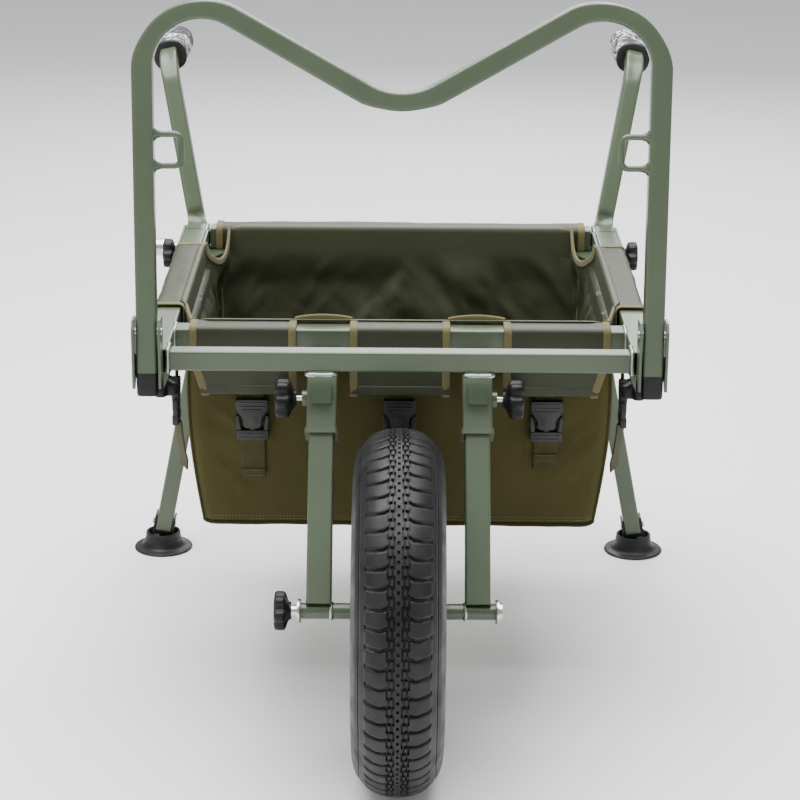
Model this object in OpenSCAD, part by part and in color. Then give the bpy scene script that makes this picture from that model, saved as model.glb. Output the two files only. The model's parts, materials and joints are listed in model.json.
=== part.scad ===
// One-wheeled carrying barrow: a square-tube frame with a hung canvas bag, a
// telescoping wheel fork, telescoping rear legs, fold-up handles and a fold-down
// front bar. X runs across, the wheel end faces -Y, +Z is up, the ground is Z = 0.

/* [Frame] */
// Distance between the centre lines of the two side rails
rail_span = 482; // [430:2:540]
// Length of each side rail
rail_len = 484; // [420:2:560]
// Height of the rail centre line above the ground
rail_z = 410; // [390:1:450]
// Outside width of the square rail and bag bar tube
rail_w = 25; // [22:1:32]
// Outside width of the square crossbar, front bar and handle tube
bar_w = 20; // [16:1:24]
// Wall thickness of every frame tube
tube_t = 1.5; // [1:0.1:2.2]
// Corner radius of the square tubes
tube_r = 2.2; // [1.7:0.1:3.5]
// Running clearance between parts that slide or turn
gap = 0.3; // [0.2:0.05:0.5]

/* [Wheel] */
// Outside diameter of the tyre
tyre_d = 360; // [320:2:400]
// Width of the tyre over its shoulders
tyre_w = 92; // [76:2:110]
// Diameter of the rim seat
rim_d = 204; // [180:2:220]
// Diameter of the axle bolt
axle_d = 12; // [10:1:16]
// Half length of the wheel hub
hub_half = 41; // [34:1:50]

/* [Fork] */
// Distance between the centre lines of the two fork legs
fork_span = 156; // [140:2:190]
// Outside width of the square fork leg
fork_w = 25; // [20:1:28]
// Lean of the fork back from upright, in degrees
fork_lean = 34; // [30:1:38]
// Length of each fork leg from the axle up
fork_len = 243; // [225:1:262]
// Length of the receiver that the leg slides in
receiver_len = 86; // [70:2:100]
// Room that each fork leg has to slide up in its receiver
fork_travel = 20; // [10:1:26]
// Outside length of the axle tubes from the middle of the cart
axle_tube_x = 97; // [92:1:115]
// Outside diameter of the axle tubes
axle_tube_d = 16; // [15:0.5:20]

/* [Front bar] */
// Distance that each upright stands outside its rail's centre line
front_out = 6; // [0:1:14]
// Height of the bar from its foot to the middle of its shoulders
front_h = 353; // [320:1:400]
// Lean of the bar back from upright, in degrees
front_lean = 4.65; // [0:0.05:8]
// Bend radius of the outer shoulders
shoulder_r = 57; // [45:1:75]
// Slope of the inner arms down to the middle, in degrees
arm_slope = 29.5; // [24:0.5:34]
// Bend radius of the dip in the middle
dip_r = 74; // [60:1:100]
// Height of the fold pin above the foot of the bar
front_pin_h = 40; // [38:1:44]
// Height of the tie loops above the foot, to their middle
loop_h = 218; // [190:1:240]

/* [Handles] */
// Distance from the rail end back to the fold pin
handle_pin_back = 65; // [55:1:80]
// Length of the straight foot behind the joint
foot_len = 46; // [36:1:60]
// Rise of the handle from its foot to its grip
handle_rise = 194; // [160:1:240]
// Distance that the handle runs back as it rises
handle_run = 78; // [50:1:110]
// Distance that each handle spreads outward as it rises
handle_spread = 41; // [0:1:45]
// Length of the foam grip
grip_len = 118; // [90:1:140]
// Width of the foam grip
grip_w = 40; // [34:1:46]
// Height of the foam grip
grip_h = 37; // [30:1:42]

/* [Legs] */
// Distance between the middles of the two foot discs
feet_span = 587; // [520:1:640]
// Distance of the foot discs behind the tops of the legs
feet_behind = 9; // [0:1:40]
// Outward lean of the legs, in degrees
leg_splay = 11.4; // [8:0.1:14]
// Length of the leg socket
socket_len = 92; // [80:1:110]
// Diameter of the foot disc
disc_d = 72; // [60:1:90]

/* [Bag] */
// Depth of the bag below the rail centre line
bag_depth = 217; // [190:1:240]
// Width of the bag at its base
bag_base_w = 416; // [380:1:440]
// Thickness of the bag cloth
cloth_t = 1.6; // [1:0.1:3]
// Width of the webbing
web_w = 25; // [20:1:30]

/* [Hidden] */

// Colours
paint = [0.40, 0.45, 0.37];
black = [0.09, 0.09, 0.09];
steel = [0.75, 0.76, 0.76];
canvas = [0.27, 0.24, 0.12];
webbing = [0.45, 0.40, 0.22];
foam = [0.45, 0.45, 0.47];

// Frame places: the front crossbar's middle is Y = 0 before the cart is centred
rail_x = rail_span / 2;
rail_top = rail_z + rail_w / 2;
rail_front = -bar_w / 2;
rail_end = rail_front + rail_len;
bag_bar_y = 72;
rear_bar_y = rail_end + 4 + rail_w / 2;
side_gap = 2;
plate_t = 2.5;

// Wheel and fork places
tyre_r = tyre_d / 2;
axle_y = -92;
axle_z = tyre_r;
fork_x = fork_span / 2;
receiver_w = fork_w + 2 * (gap + 0.2) + 4;
receiver_top = fork_len + fork_travel;
axle_tube_in = hub_half + 3;
flange_x = tyre_w * 0.36;
axle_end = axle_tube_x + 2;
fork_boss_at = receiver_top - receiver_len + 40;

// Front bar places
front_x = rail_x + front_out;
front_y = -25;
front_foot_z = rail_z - 6;
shoulder_x = front_x - shoulder_r;
shoulder_h = front_h - shoulder_r;
arm_x = shoulder_x - shoulder_r * sin(arm_slope);
arm_h = shoulder_h + shoulder_r * cos(arm_slope);
dip_x = dip_r * sin(arm_slope);
dip_h = arm_h - (arm_x - dip_x) * tan(arm_slope) + dip_r * cos(arm_slope);
front_pin_d = 8;
front_pin_z = front_foot_z + front_pin_h * cos(front_lean);
front_pin_y = front_y + front_pin_h * sin(front_lean);
bracket_gap = 1.6;
bracket_in = front_x - bar_w / 2 - bracket_gap - plate_t;
bracket_knob_x = rail_x - 3;
bracket_knob_y = 18;

// Handle places
joint_gap = 2;
handle_pin_y = rail_end - handle_pin_back;
handle_pin_d = 8;
plate_half_h = 11;
pull_pin_y = handle_pin_y + 27;
pull_pin_neck = 13;
foot_start = rail_end + joint_gap;
knee_y = foot_start + foot_len;
elbow_y = knee_y + handle_run;
grip_start = elbow_y + 26;
grip_end = grip_start + grip_len;
knee_r = 34;
elbow_r = 36;

// Leg places: a leg's own frame has its foot pin at the origin and its tube along +Z
disc_z = 3;
pin_z = 34;
ball_z = 11;
ball_d = 14;
leg_x = feet_span / 2 - 2.5;
socket_y = rear_bar_y + rail_w / 2 + 14;
feet_back = socket_y + feet_behind;
leg_back = atan(feet_behind / (rail_z - pin_z));
leg_top_z = rail_z - 14;
leg_len = (leg_top_z - pin_z) / cos(leg_splay);
socket_x = leg_x - (leg_top_z - pin_z) * tan(leg_splay);
socket_w = bar_w + 2 * (gap + 0.2) + 3;

// The whole cart, from the front of the tyre to the ends of the grips
cart_front = axle_y - tyre_r;
cart_back = grip_end + 3;
middle_y = (cart_front + cart_back) / 2;

// Bag places
gusset_t = 4;
gusset_in = rail_x - 44;
bag_top_x = rail_x - rail_w / 2 - 14;
bag_base_x = bag_base_w / 2;
bag_front = bag_bar_y + 8;
bag_base_front = axle_y + tyre_r + 17;
bag_back = rear_bar_y - 8;
bag_floor = rail_z - bag_depth;
bag_top = rail_z - rail_w / 2 - gusset_t - 2 * gap - 0.2;
front_slope = atan((bag_base_front - bag_front) / (bag_top - bag_floor));
sleeve_gap = 0.5;
rail_sleeve = [140, handle_pin_y - 12];
cut_x = fork_x;
cut_half = 27;
flap_drop = 54;

// ---- Shared shapes -------------------------------------------------------

// Put a sub-part in the cart's own frame, whose origin is under its middle
module seat() {
    translate([0, -middle_y, 0]) children();
}

// Draw for the right-hand side, or mirrored for the left
module side(s) {
    if (s > 0) children();
    else mirror([1, 0, 0]) children();
}

// Square with round corners
module round_square(w, r) {
    square([w - 2 * r, w], center = true);
    square([w, w - 2 * r], center = true);
    for (x = [-1, 1], y = [-1, 1]) translate([x * (w / 2 - r), y * (w / 2 - r)]) circle(r, $fn = 20);
}

// Cross-section of a square tube
module tube_section(w, t = tube_t) {
    difference() {
        round_square(w, tube_r);
        round_square(w - 2 * t, max(tube_r - t, 0.5));
    }
}

// Straight square tube of length l along +Z
module tube_z(w, l, t = tube_t) {
    linear_extrude(l) tube_section(w, t);
}

// Straight square tube centred on X
module tube_x(w, l, t = tube_t) {
    rotate([0, 90, 0]) translate([0, 0, -l / 2]) tube_z(w, l, t);
}

// Cylinder along +X from x0 to x1
module rod_x(d, x0, x1) {
    translate([x0, 0, 0]) rotate([0, 90, 0]) cylinder(d = d, h = x1 - x0, $fn = 48);
}

// Bends are drawn a hair slimmer than the straight tubes, which run into them a little
bend_fit = 0.04;
bend_lap = 0.5;

// Bent square tube in the YZ plane, about the middle [cy, cz], from angle a0 through a
module bend_yz(w, cy, cz, r, a0, a) {
    translate([0, cy, cz]) rotate([90, 0, 90]) rotate(a0) rotate_extrude(angle = a, $fn = 96)
        translate([r, 0]) tube_section(w - bend_fit);
}

// Straight tube between two bends, from a to b along Z
module tube_between(w, a, b) {
    translate([0, 0, a - bend_lap]) tube_z(w, b - a + 2 * bend_lap);
}

// Star knob with its hub face at Z = 0 and its six lobes toward +Z
module star_knob(d = 40, h = 16) {
    lobe = d * 0.17;
    difference() {
        union() {
            translate([0, 0, 4]) linear_extrude(h - 4) difference() {
                circle(d = d - 2, $fn = 72);
                for (i = [0:5]) rotate(i * 60 + 30) translate([d * 0.56, 0]) circle(lobe, $fn = 36);
            }
            cylinder(d = d * 0.45, h = h - 2, $fn = 48);
        }
        translate([0, 0, h - 2]) cylinder(d = d * 0.34, h = 3, $fn = 48);
    }
}

// ---- Frame ---------------------------------------------------------------

module rail(s) {
    color(paint) seat() side(s) difference() {
        translate([rail_x, rail_front, rail_z]) rotate([-90, 0, 0]) tube_z(rail_w, rail_len);
        // Hole for the handle's fold pin
        translate([0, handle_pin_y, rail_z])
            rod_x(handle_pin_d + 2 * 0.06, rail_x - rail_w, rail_x + rail_w);
    }
}

module front_crossbar() {
    color(paint) seat() translate([0, 0, rail_z]) tube_x(bar_w, 2 * (rail_x - rail_w / 2));
}

module front_bag_bar() {
    color(paint) seat() translate([0, bag_bar_y, rail_z]) tube_x(rail_w, 2 * (rail_x - rail_w / 2));
}

module rear_bag_bar() {
    color(paint) seat() translate([0, rear_bar_y, rail_z])
        tube_x(rail_w, 2 * (rail_x - rail_w / 2 - plate_t - side_gap));
}

// Everything on the fork's slope: origin on the axle, +Z up along the leg
module on_fork(x) {
    translate([x, axle_y, axle_z]) rotate([-fork_lean, 0, 0]) children();
}

module fork_receiver(s) {
    low = receiver_top - receiver_len;
    color(paint) seat() difference() {
        union() {
            side(s) on_fork(fork_x) {
                translate([0, 0, low]) tube_z(receiver_w, receiver_len + 30, 2);
                // Rolled collar at the mouth
                translate([0, 0, low]) difference() {
                    linear_extrude(6) round_square(receiver_w + 3, tube_r + 1.5);
                    translate([0, 0, -1]) linear_extrude(8) round_square(receiver_w - 4, tube_r);
                }
                // Nut boss on the outer side, level with the clamp knob
                translate([receiver_w / 2, 0, fork_boss_at]) rotate([0, 90, 0])
                    cylinder(d = 16, h = 5, $fn = 48);
                // Stop lug on the front face
                translate([0, -receiver_w / 2 - 1.5, fork_boss_at]) cube([19, 3, 21], center = true);
            }
        }
        // Coped to the underside of the bag bar
        translate([-200, -100, rail_z - rail_w / 2]) cube([400, 400, 100]);
        side(s) on_fork(fork_x) translate([0, 0, fork_boss_at]) rod_x(6.2, 0, receiver_w);
    }
}

// Bracket clamped to the rail's front end: two cheeks, a web, and a lip under the rail
module front_bracket(s) {
    cheek_low = front_foot_z - 14;
    cheek_high = front_pin_z + 14;
    cheek_front = front_y - 12;
    cheek_x = [bracket_in, front_x + bar_w / 2 + bracket_gap];
    color(paint) seat() side(s) difference() {
        union() {
            for (x = cheek_x) translate([x, 0, 0]) rotate([90, 0, 90]) linear_extrude(plate_t) polygon([
                [cheek_front, cheek_low], [cheek_front + 6, cheek_low - 2],
                [rail_front - gap, cheek_low + 16],
                [rail_front - gap, rail_top + 1], [front_pin_y + 13, rail_top + 6],
                [front_pin_y + 13, cheek_high - 4], [front_pin_y + 8, cheek_high],
                [front_pin_y - 9, cheek_high], [cheek_front, cheek_high - 8]]);
            // Web against the rail's end
            translate([bracket_in, rail_front - 2.5, rail_z - rail_w / 2])
                cube([cheek_x[1] + plate_t - bracket_in, 2.2, rail_w - 4]);
            // Lip under the rail
            translate([bracket_in, rail_front - 2.5, rail_z - rail_w / 2 - 3.3])
                cube([cheek_x[1] + plate_t - bracket_in, 48, 3]);
            // Curved gusset toward the crossbar
            translate([bracket_in, rail_front - gap, rail_z - bar_w / 2]) rotate([90, 0, 0]) linear_extrude(3)
                difference() {
                    polygon([[0, 0], [0, -17], [-7, 0]]);
                    translate([-13, -20]) circle(12, $fn = 48);
                }
        }
        translate([0, front_pin_y, front_pin_z]) rod_x(front_pin_d + 0.12, bracket_in - 5, front_x + 40);
        translate([bracket_knob_x, bracket_knob_y, rail_z - 30]) cylinder(d = 8.12, h = 30, $fn = 48);
    }
}

// Flat plate that joins the rail's underside to the rear bag bar and the leg socket
module rear_gusset(s) {
    under = rail_z - rail_w / 2;
    color(paint) seat() side(s) translate([0, 0, under - gusset_t - gap]) linear_extrude(gusset_t)
        polygon([[rail_x + rail_w / 2, rail_end - 50], [rail_x + rail_w / 2, rail_end - 4],
            [rail_x - 6, rear_bar_y + rail_w / 2], [gusset_in, rear_bar_y + rail_w / 2],
            [gusset_in, rear_bar_y - rail_w / 2], [rail_x - rail_w / 2, rail_end - 50]]);
}

// Everything on a leg's slope: origin on the foot pin, +Z up along the tube
module on_leg() {
    translate([leg_x, feet_back, pin_z]) rotate([leg_back, 0, 0]) rotate([0, -leg_splay, 0]) children();
}

module leg_socket(s) {
    color(paint) seat() side(s) difference() {
        union() {
            on_leg() translate([0, 0, leg_len - socket_len]) {
                tube_z(socket_w, socket_len, 1.5);
                translate([0, socket_w / 2, 24]) rotate([-90, 0, 0]) cylinder(d = 16, h = 5, $fn = 48);
            }
            // Saddle between the socket and the bag bar
            translate([socket_x - 16, rear_bar_y + rail_w / 2 + gap, leg_top_z - 10]) cube([24, 3, 26]);
        }
        on_leg() translate([0, 0, leg_len - socket_len + 24]) rotate([-90, 0, 0])
            cylinder(d = 6.2, h = 40, $fn = 36);
        on_leg() translate([0, 0, leg_len - socket_len - 1]) linear_extrude(socket_len + 2)
            round_square(socket_w - 3, 1);
    }
}

// Plastic plugs in the rear ends of the rails
module rail_plugs() {
    color(black) seat() for (s = [-1, 1]) side(s) translate([rail_x, rail_end, rail_z]) rotate([90, 0, 0]) {
        translate([0, 0, -0.8]) linear_extrude(0.8) round_square(rail_w - 3, tube_r);
        linear_extrude(10) round_square(rail_w - 2 * tube_t - 0.2, 0.8);
    }
}

// ---- Bag -----------------------------------------------------------------

// Block that narrows from the bag's mouth to its floor, smaller by inset on every wall
module bag_block(inset) {
    up = inset > 0 ? 5 : 0;
    intersection() {
        translate([0, bag_back - inset, 0]) rotate([90, 0, 0]) linear_extrude(bag_back)
            polygon([[-bag_top_x + inset, bag_top + up], [bag_top_x - inset, bag_top + up],
                [bag_base_x - inset, bag_floor + inset], [-bag_base_x + inset, bag_floor + inset]]);
        translate([-rail_x, 0, 0]) rotate([90, 0, 90]) linear_extrude(rail_span)
            polygon([[bag_front + inset, bag_top + up], [bag_back, bag_top + up],
                [bag_back, bag_floor], [bag_base_front + inset, bag_floor]]);
    }
}

// Open-topped canvas bag, hung inside the rails
module bag() {
    color(canvas) seat() difference() {
        bag_block(0);
        bag_block(cloth_t);
    }
}

// Square sleeve of cloth that wraps a tube of width w over length l, along +Z
module sleeve_z(w, l) {
    linear_extrude(l) difference() {
        square(w + 2 * (sleeve_gap + cloth_t), center = true);
        square(w + 2 * sleeve_gap, center = true);
    }
}

module rail_wrap(s) {
    color(canvas) seat() side(s) translate([rail_x, rail_sleeve[0], rail_z]) rotate([-90, 0, 0])
        sleeve_z(rail_w, rail_sleeve[1] - rail_sleeve[0]);
}

// Front sleeve, cut away in two places over the fork receivers
module front_sleeve() {
    half = rail_x - rail_w / 2 - 15;
    outer = rail_w + 2 * (sleeve_gap + cloth_t);
    color(canvas) seat() translate([0, bag_bar_y, rail_z]) difference() {
        union() {
            rotate([0, 90, 0]) translate([0, 0, -half]) sleeve_z(rail_w, 2 * half);
            // Flap that hangs from the sleeve's front face
            translate([-half, -outer / 2, -flap_drop]) cube([2 * half, cloth_t, flap_drop]);
        }
        for (s = [-1, 1]) translate([s * cut_x - cut_half, -outer, -2 * outer])
            cube([2 * cut_half, 2 * outer, 3 * outer]);
    }
}

module rear_sleeve() {
    half = rail_x - rail_w / 2 - 12;
    color(canvas) seat() translate([0, rear_bar_y, rail_z]) difference() {
        rotate([0, 90, 0]) translate([0, 0, -half]) sleeve_z(rail_w, 2 * half);
        // Clear of the gussets and leg sockets behind and below
        for (s = [-1, 1]) translate([s * socket_x - 22, 0, -40]) cube([44, 40, 80]);
        for (s = [-1, 1]) translate([s * (gusset_in + 18) - 22, -30, -40]) cube([44, 60, 30]);
    }
}

front_strap_x = [-152, 0, 152];
side_strap_x = rail_x - 5;
side_strap_y = 152;
strap_t = 1.6;
strap_drop = 138;
side_drop = 158;
buckle_size = [34, 6, 46];
buckle_drop = 73;
side_buckle_z = rail_z - 98;
sleeve_under = rail_z - rail_w / 2 - sleeve_gap - cloth_t;

// On the bag's sloped front wall: origin on the rim, -Y out of the wall, +Z up it
module on_bag_front() {
    translate([0, bag_front, bag_top]) rotate([front_slope, 0, 0]) children();
}

// Webbing straps: three on the front wall, and one that hangs from each rail sleeve
module bag_straps() {
    color(webbing) seat() {
        on_bag_front() for (x = front_strap_x) translate([x - web_w / 2, -strap_t - gap, -strap_drop - 1])
            cube([web_w, strap_t, strap_drop]);
        for (s = [-1, 1]) side(s) translate([side_strap_x, side_strap_y, sleeve_under - gap - side_drop])
            cube([strap_t, web_w, side_drop]);
    }
}

module front_buckles() {
    color(black) seat() on_bag_front() for (x = front_strap_x)
        translate([x, -strap_t - 2 * gap - buckle_size[1] / 2, -buckle_drop])
            cube(buckle_size, center = true);
}

module side_buckles() {
    color(black) seat() for (s = [-1, 1]) side(s)
        translate([side_strap_x + strap_t + gap + buckle_size[1] / 2,
        side_strap_y + web_w / 2, side_buckle_z]) rotate(90) cube(buckle_size, center = true);
}

// ---- Front bar -----------------------------------------------------------

// Everything on the front bar: origin at the middle of its foot line, +Z up along the bar
module on_front_bar() {
    translate([0, front_y, front_foot_z]) rotate([-front_lean, 0, 0]) children();
}

// Arc of the front bar in its own XZ plane, about [cx, ch], from angle a0 through a
module bar_arc(cx, ch, r, a0, a) {
    translate([cx, 0, ch]) rotate([90, 0, 0]) rotate(a0) rotate_extrude(angle = a, $fn = 96)
        translate([r, 0]) tube_section(bar_w - bend_fit);
}

module front_bar() {
    arm_len = (arm_x - dip_x) / cos(arm_slope);
    color(paint) seat() difference() {
        on_front_bar() {
            for (s = [-1, 1]) side(s) {
                translate([front_x, 0, 0]) tube_z(bar_w, shoulder_h + bend_lap);
                bar_arc(shoulder_x, shoulder_h, shoulder_r, 0, 90 + arm_slope);
                translate([dip_x, 0, dip_h - dip_r * cos(arm_slope)]) rotate([0, 90 - arm_slope, 0])
                    tube_between(bar_w, 0, arm_len);
            }
            bar_arc(0, dip_h, dip_r, 270 - arm_slope, 2 * arm_slope);
        }
        translate([0, front_pin_y, front_pin_z]) rod_x(front_pin_d + 0.12, -front_x - 40, front_x + 40);
    }
}

// One rod loop on the inner face of each upright
module tie_loops() {
    rod = 6;
    half = 15.2;
    reach = 26;
    r = 7;
    in = front_x - bar_w / 2;
    color(paint) seat() on_front_bar() for (s = [-1, 1]) side(s) translate([0, 0, loop_h]) {
        for (e = [-1, 1]) {
            translate([0, 0, e * half]) rod_x(rod, in - reach + r, in);
            translate([in - reach + r, 0, e * (half - r)]) rotate([90, 0, 0]) rotate(e > 0 ? 90 : 180)
                rotate_extrude(angle = 90, $fn = 48) translate([r, 0]) circle(d = rod, $fn = 32);
        }
        translate([in - reach, 0, -half + r]) cylinder(d = rod, h = 2 * (half - r), $fn = 48);
    }
}

module front_bar_plugs() {
    color(black) seat() on_front_bar() for (s = [-1, 1]) side(s) translate([front_x, 0, 0]) {
        translate([0, 0, -20]) linear_extrude(20) round_square(bar_w, tube_r);
        linear_extrude(12) round_square(bar_w - 2 * tube_t - 0.2, 0.8);
    }
}

// Fold pins through the bracket cheeks and the foot of the bar
module front_bar_pins() {
    color(steel) seat() for (s = [-1, 1]) side(s) translate([0, front_pin_y, front_pin_z])
        rod_x(front_pin_d, bracket_in - 1, front_x + bar_w / 2 + bracket_gap + plate_t + 1);
}

// ---- Fork and wheel ------------------------------------------------------

module fork_leg(s) {
    color(paint) seat() side(s) difference() {
        on_fork(fork_x) translate([0, 0, 5]) tube_z(fork_w, fork_len - 5, 2);
        translate([0, axle_y, axle_z]) rod_x(axle_tube_d + 0.1, 0, 2 * fork_x);
    }
}

module axle_tubes() {
    color(paint) seat() for (s = [-1, 1]) side(s) translate([0, axle_y, axle_z]) difference() {
        union() {
            rod_x(axle_tube_d, axle_tube_in, axle_tube_x);
            rod_x(axle_tube_d + 8, axle_tube_x - 1.5, axle_tube_x);
        }
        rod_x(axle_d + 0.1, 0, axle_tube_x + 10);
    }
}

// Axle bolt with its two washers: a head on the right, a thread on the left for the star knob
module axle_bolt() {
    color(steel) seat() translate([0, axle_y, axle_z]) {
        rod_x(axle_d, -axle_end - 16, axle_end + 2);
        rod_x(19, axle_end, axle_end + 3);
        for (s = [-1, 1]) side(s) difference() {
            rod_x(24, axle_tube_x + 0.1, axle_end - 0.1);
            rod_x(axle_d + 0.1, 0, axle_end + 10);
        }
    }
}

// Points of a plump round outline, r0 +- a in radius and +- b across
function plump(r0, a, b) = [for (t = [0:10:350])
    [r0 + a * sign(cos(t)) * pow(abs(cos(t)), 0.86), b * sign(sin(t)) * pow(abs(sin(t)), 0.86)]];

// Tyre section, drawn as radius against width, open between its beads
module tyre_section() {
    half = tyre_w / 2;
    bead = rim_d / 2;
    wall = 8;
    a = (tyre_r - bead) * 0.6;
    difference() {
        polygon(plump(tyre_r - a, a, half));
        polygon(plump(tyre_r - a + wall, a - 2 * wall + 1, half - wall));
        translate([0, -tyre_w]) square([bead, 2 * tyre_w]);
        translate([0, -flange_x + 9]) square([tyre_r - a, 2 * flange_x - 18]);
        for (s = [-1, 1]) translate([0, s > 0 ? flange_x : -flange_x - half]) square([bead + 12, half]);
    }
}

module on_axle() {
    translate([0, axle_y, axle_z]) rotate([0, 90, 0]) children();
}

module tyre() {
    color(black) seat() on_axle() rotate_extrude($fn = 144) tyre_section();
}

// Two pressed rim halves as one ring, with flanges and a disc on the hub
module rim() {
    seat_r = rim_d / 2 - 0.2;
    out = flange_x + 0.3;
    web = 3;
    color(steel) seat() on_axle() difference() {
        rotate_extrude($fn = 96) polygon([
            [26.2, -web], [26.2, web], [seat_r - 11, web], [seat_r - 3, out - 8], [seat_r - 3, out + 2],
            [seat_r + 11, out + 2], [seat_r + 11, out], [seat_r, out], [seat_r, out - 8],
            [seat_r - 7, web + 2],
            [seat_r - 7, -web - 2], [seat_r, -out + 8], [seat_r, -out], [seat_r + 11, -out],
            [seat_r + 11, -out - 2], [seat_r - 3, -out - 2], [seat_r - 3, -out + 8], [seat_r - 11, -web]]);
        for (i = [0:3]) rotate(i * 90 + 45) translate([40, 0, -10]) cylinder(d = 8.4, h = 20, $fn = 36);
    }
}

module hub() {
    color(steel) seat() on_axle() difference() {
        union() {
            cylinder(d = 36, h = 2 * hub_half, center = true, $fn = 72);
            cylinder(d = 52, h = 5.8, center = true, $fn = 72);
        }
        cylinder(d = axle_d + 6, h = 3 * hub_half, center = true, $fn = 48);
        for (z = [-1, 1]) translate([0, 0, z * hub_half])
            cylinder(d = 28.04, h = 16.4, center = true, $fn = 72);
    }
}

module wheel_bearings() {
    color(steel) seat() on_axle() for (z = [-1, 1]) translate([0, 0, z * (hub_half - 4)]) difference() {
        cylinder(d = 28, h = 8, center = true, $fn = 72);
        cylinder(d = axle_d + 0.06, h = 10, center = true, $fn = 48);
    }
}

module rim_bolts() {
    color(steel) seat() on_axle() for (i = [0:3]) rotate(i * 90 + 45) translate([40, 0, 0]) {
        cylinder(d = 8, h = 18, center = true, $fn = 36);
        translate([0, 0, 3.1]) cylinder(d = 13, h = 5, $fn = 6);
        translate([0, 0, -8.1]) cylinder(d = 13, h = 5, $fn = 6);
    }
}

// ---- Clamp knobs: each is a star head on its own threaded stud ---------------

module axle_knob() {
    start = -axle_end - 6;
    color(black) seat() translate([start, axle_y, axle_z]) rotate([0, -90, 0]) difference() {
        star_knob(39, 17);
        translate([0, 0, -1]) cylinder(d = axle_d + 0.1, h = 12, $fn = 48);
    }
}

module fork_knob(s) {
    stud = 6;
    color(black) seat() side(s) on_fork(fork_x) translate([receiver_w / 2 + 5 + stud, 0, fork_boss_at])
        rotate([0, 90, 0]) {
            star_knob(41, 21);
            translate([0, 0, -stud - 6]) cylinder(d = 6, h = stud + 8, $fn = 36);
        }
}

module bracket_knob(s) {
    stud = 6;
    under = rail_z - rail_w / 2 - 3.3 - stud;
    color(black) seat() side(s) translate([bracket_knob_x, bracket_knob_y, under]) rotate([180, 0, 0]) {
        star_knob(39, 20);
        translate([0, 0, -3 - stud]) cylinder(d = 8, h = 5 + stud, $fn = 36);
    }
}

module leg_knob(s) {
    color(black) seat() side(s) on_leg()
        translate([0, socket_w / 2 + 5 + gap, leg_len - socket_len + 24]) rotate([-90, 0, 0]) {
            star_knob(36, 16);
            translate([0, 0, -6 - gap]) cylinder(d = 6, h = 10, $fn = 36);
        }
}

// ---- Handles -------------------------------------------------------------

// Handle tube: foot, knee, riser, elbow and grip core, worked out in the riser's own plane
spread_a = atan(handle_spread / handle_rise);
rise_a = atan(handle_run / handle_rise);
riser_len = norm([handle_rise, handle_run]);
knee_cut = knee_r * tan((90 - rise_a) / 2);
elbow_cut = elbow_r * tan((90 - rise_a) / 2);

module handle(s) {
    turn = 90 - rise_a;
    foot_end = knee_y - knee_cut;
    color(paint) seat() side(s) translate([rail_x, 0, rail_z]) {
        translate([0, foot_start, 0]) rotate([-90, 0, 0]) tube_z(rail_w, foot_end - foot_start);
        // Reducer between the foot and the thinner bent tube
        translate([0, foot_end - 4, 0]) rotate([-90, 0, 0]) linear_extrude(4 + bend_lap) difference() {
            round_square(rail_w, tube_r);
            round_square(bar_w - 2 * tube_t - 1, 0.7);
        }
        translate([0, knee_y, 0]) rotate([0, spread_a, 0]) {
            bend_yz(bar_w, -knee_cut, knee_r, knee_r, -90, turn);
            rotate([-rise_a, 0, 0]) tube_between(bar_w, knee_cut, riser_len - elbow_cut);
            bend_yz(bar_w, handle_run + elbow_cut, handle_rise - elbow_r, elbow_r, 90, turn);
            translate([0, handle_run, handle_rise]) rotate([-90, 0, 0])
                tube_between(bar_w, elbow_cut, grip_end - elbow_y - bend_lap);
        }
    }
}

module on_grip() {
    translate([rail_x, knee_y, rail_z]) rotate([0, spread_a, 0])
        translate([0, handle_run, handle_rise]) rotate([-90, 0, 0]) children();
}

// Foam grip: a rounded sleeve with a plain front collar and a closed rear end
module grip(s) {
    from = grip_start - elbow_y;
    color(foam) seat() side(s) on_grip() difference() {
        translate([0, 0, from]) linear_extrude(grip_len + 3) intersection() {
            circle(d = grip_w * 1.08, $fn = 72);
            square([grip_w, grip_h], center = true);
        }
        translate([0, 0, from - 1]) linear_extrude(grip_len + 1) round_square(bar_w + 0.1, tube_r);
    }
}

// Two cheek plates on the foot that straddle the rail
module handle_plates(s) {
    color(paint) seat() side(s)
        for (side_x = [rail_x - rail_w / 2 - gap - plate_t, rail_x + rail_w / 2 + gap])
        translate([side_x, 0, rail_z]) rotate([90, 0, 90]) difference() {
            linear_extrude(plate_t) {
                translate([handle_pin_y, 0]) circle(plate_half_h, $fn = 72);
                translate([handle_pin_y, -plate_half_h])
                    square([foot_start + 24 - handle_pin_y, 2 * plate_half_h]);
            }
            translate([handle_pin_y, 0, -1]) cylinder(d = handle_pin_d + 0.12, h = 5, $fn = 48);
            if (side_x > rail_x) translate([pull_pin_y, 0, -1]) cylinder(d = 6.1, h = 5, $fn = 48);
        }
}

// Fold pin through rail and plates, with its star knob outside
module handle_knob(s) {
    out = rail_w / 2 + gap + plate_t + gap;
    color(black) seat() side(s) translate([rail_x, handle_pin_y, rail_z]) rotate([0, 90, 0]) {
        translate([0, 0, -out - 5]) cylinder(d = 14, h = 5, $fn = 48);
        translate([0, 0, -out - 1]) cylinder(d = handle_pin_d, h = 2 * out + 2, $fn = 48);
        translate([0, 0, out]) star_knob(34, 16);
    }
}

// Threaded sleeve of the pull pin, on the left outer plate
module pull_pin_sleeve() {
    out = rail_x + rail_w / 2 + gap + plate_t;
    color(steel) seat() side(-1) translate([0, pull_pin_y, rail_z]) difference() {
        rod_x(11, out, out + pull_pin_neck);
        rod_x(6.1, out - 1, out + pull_pin_neck + 1);
    }
}

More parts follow.
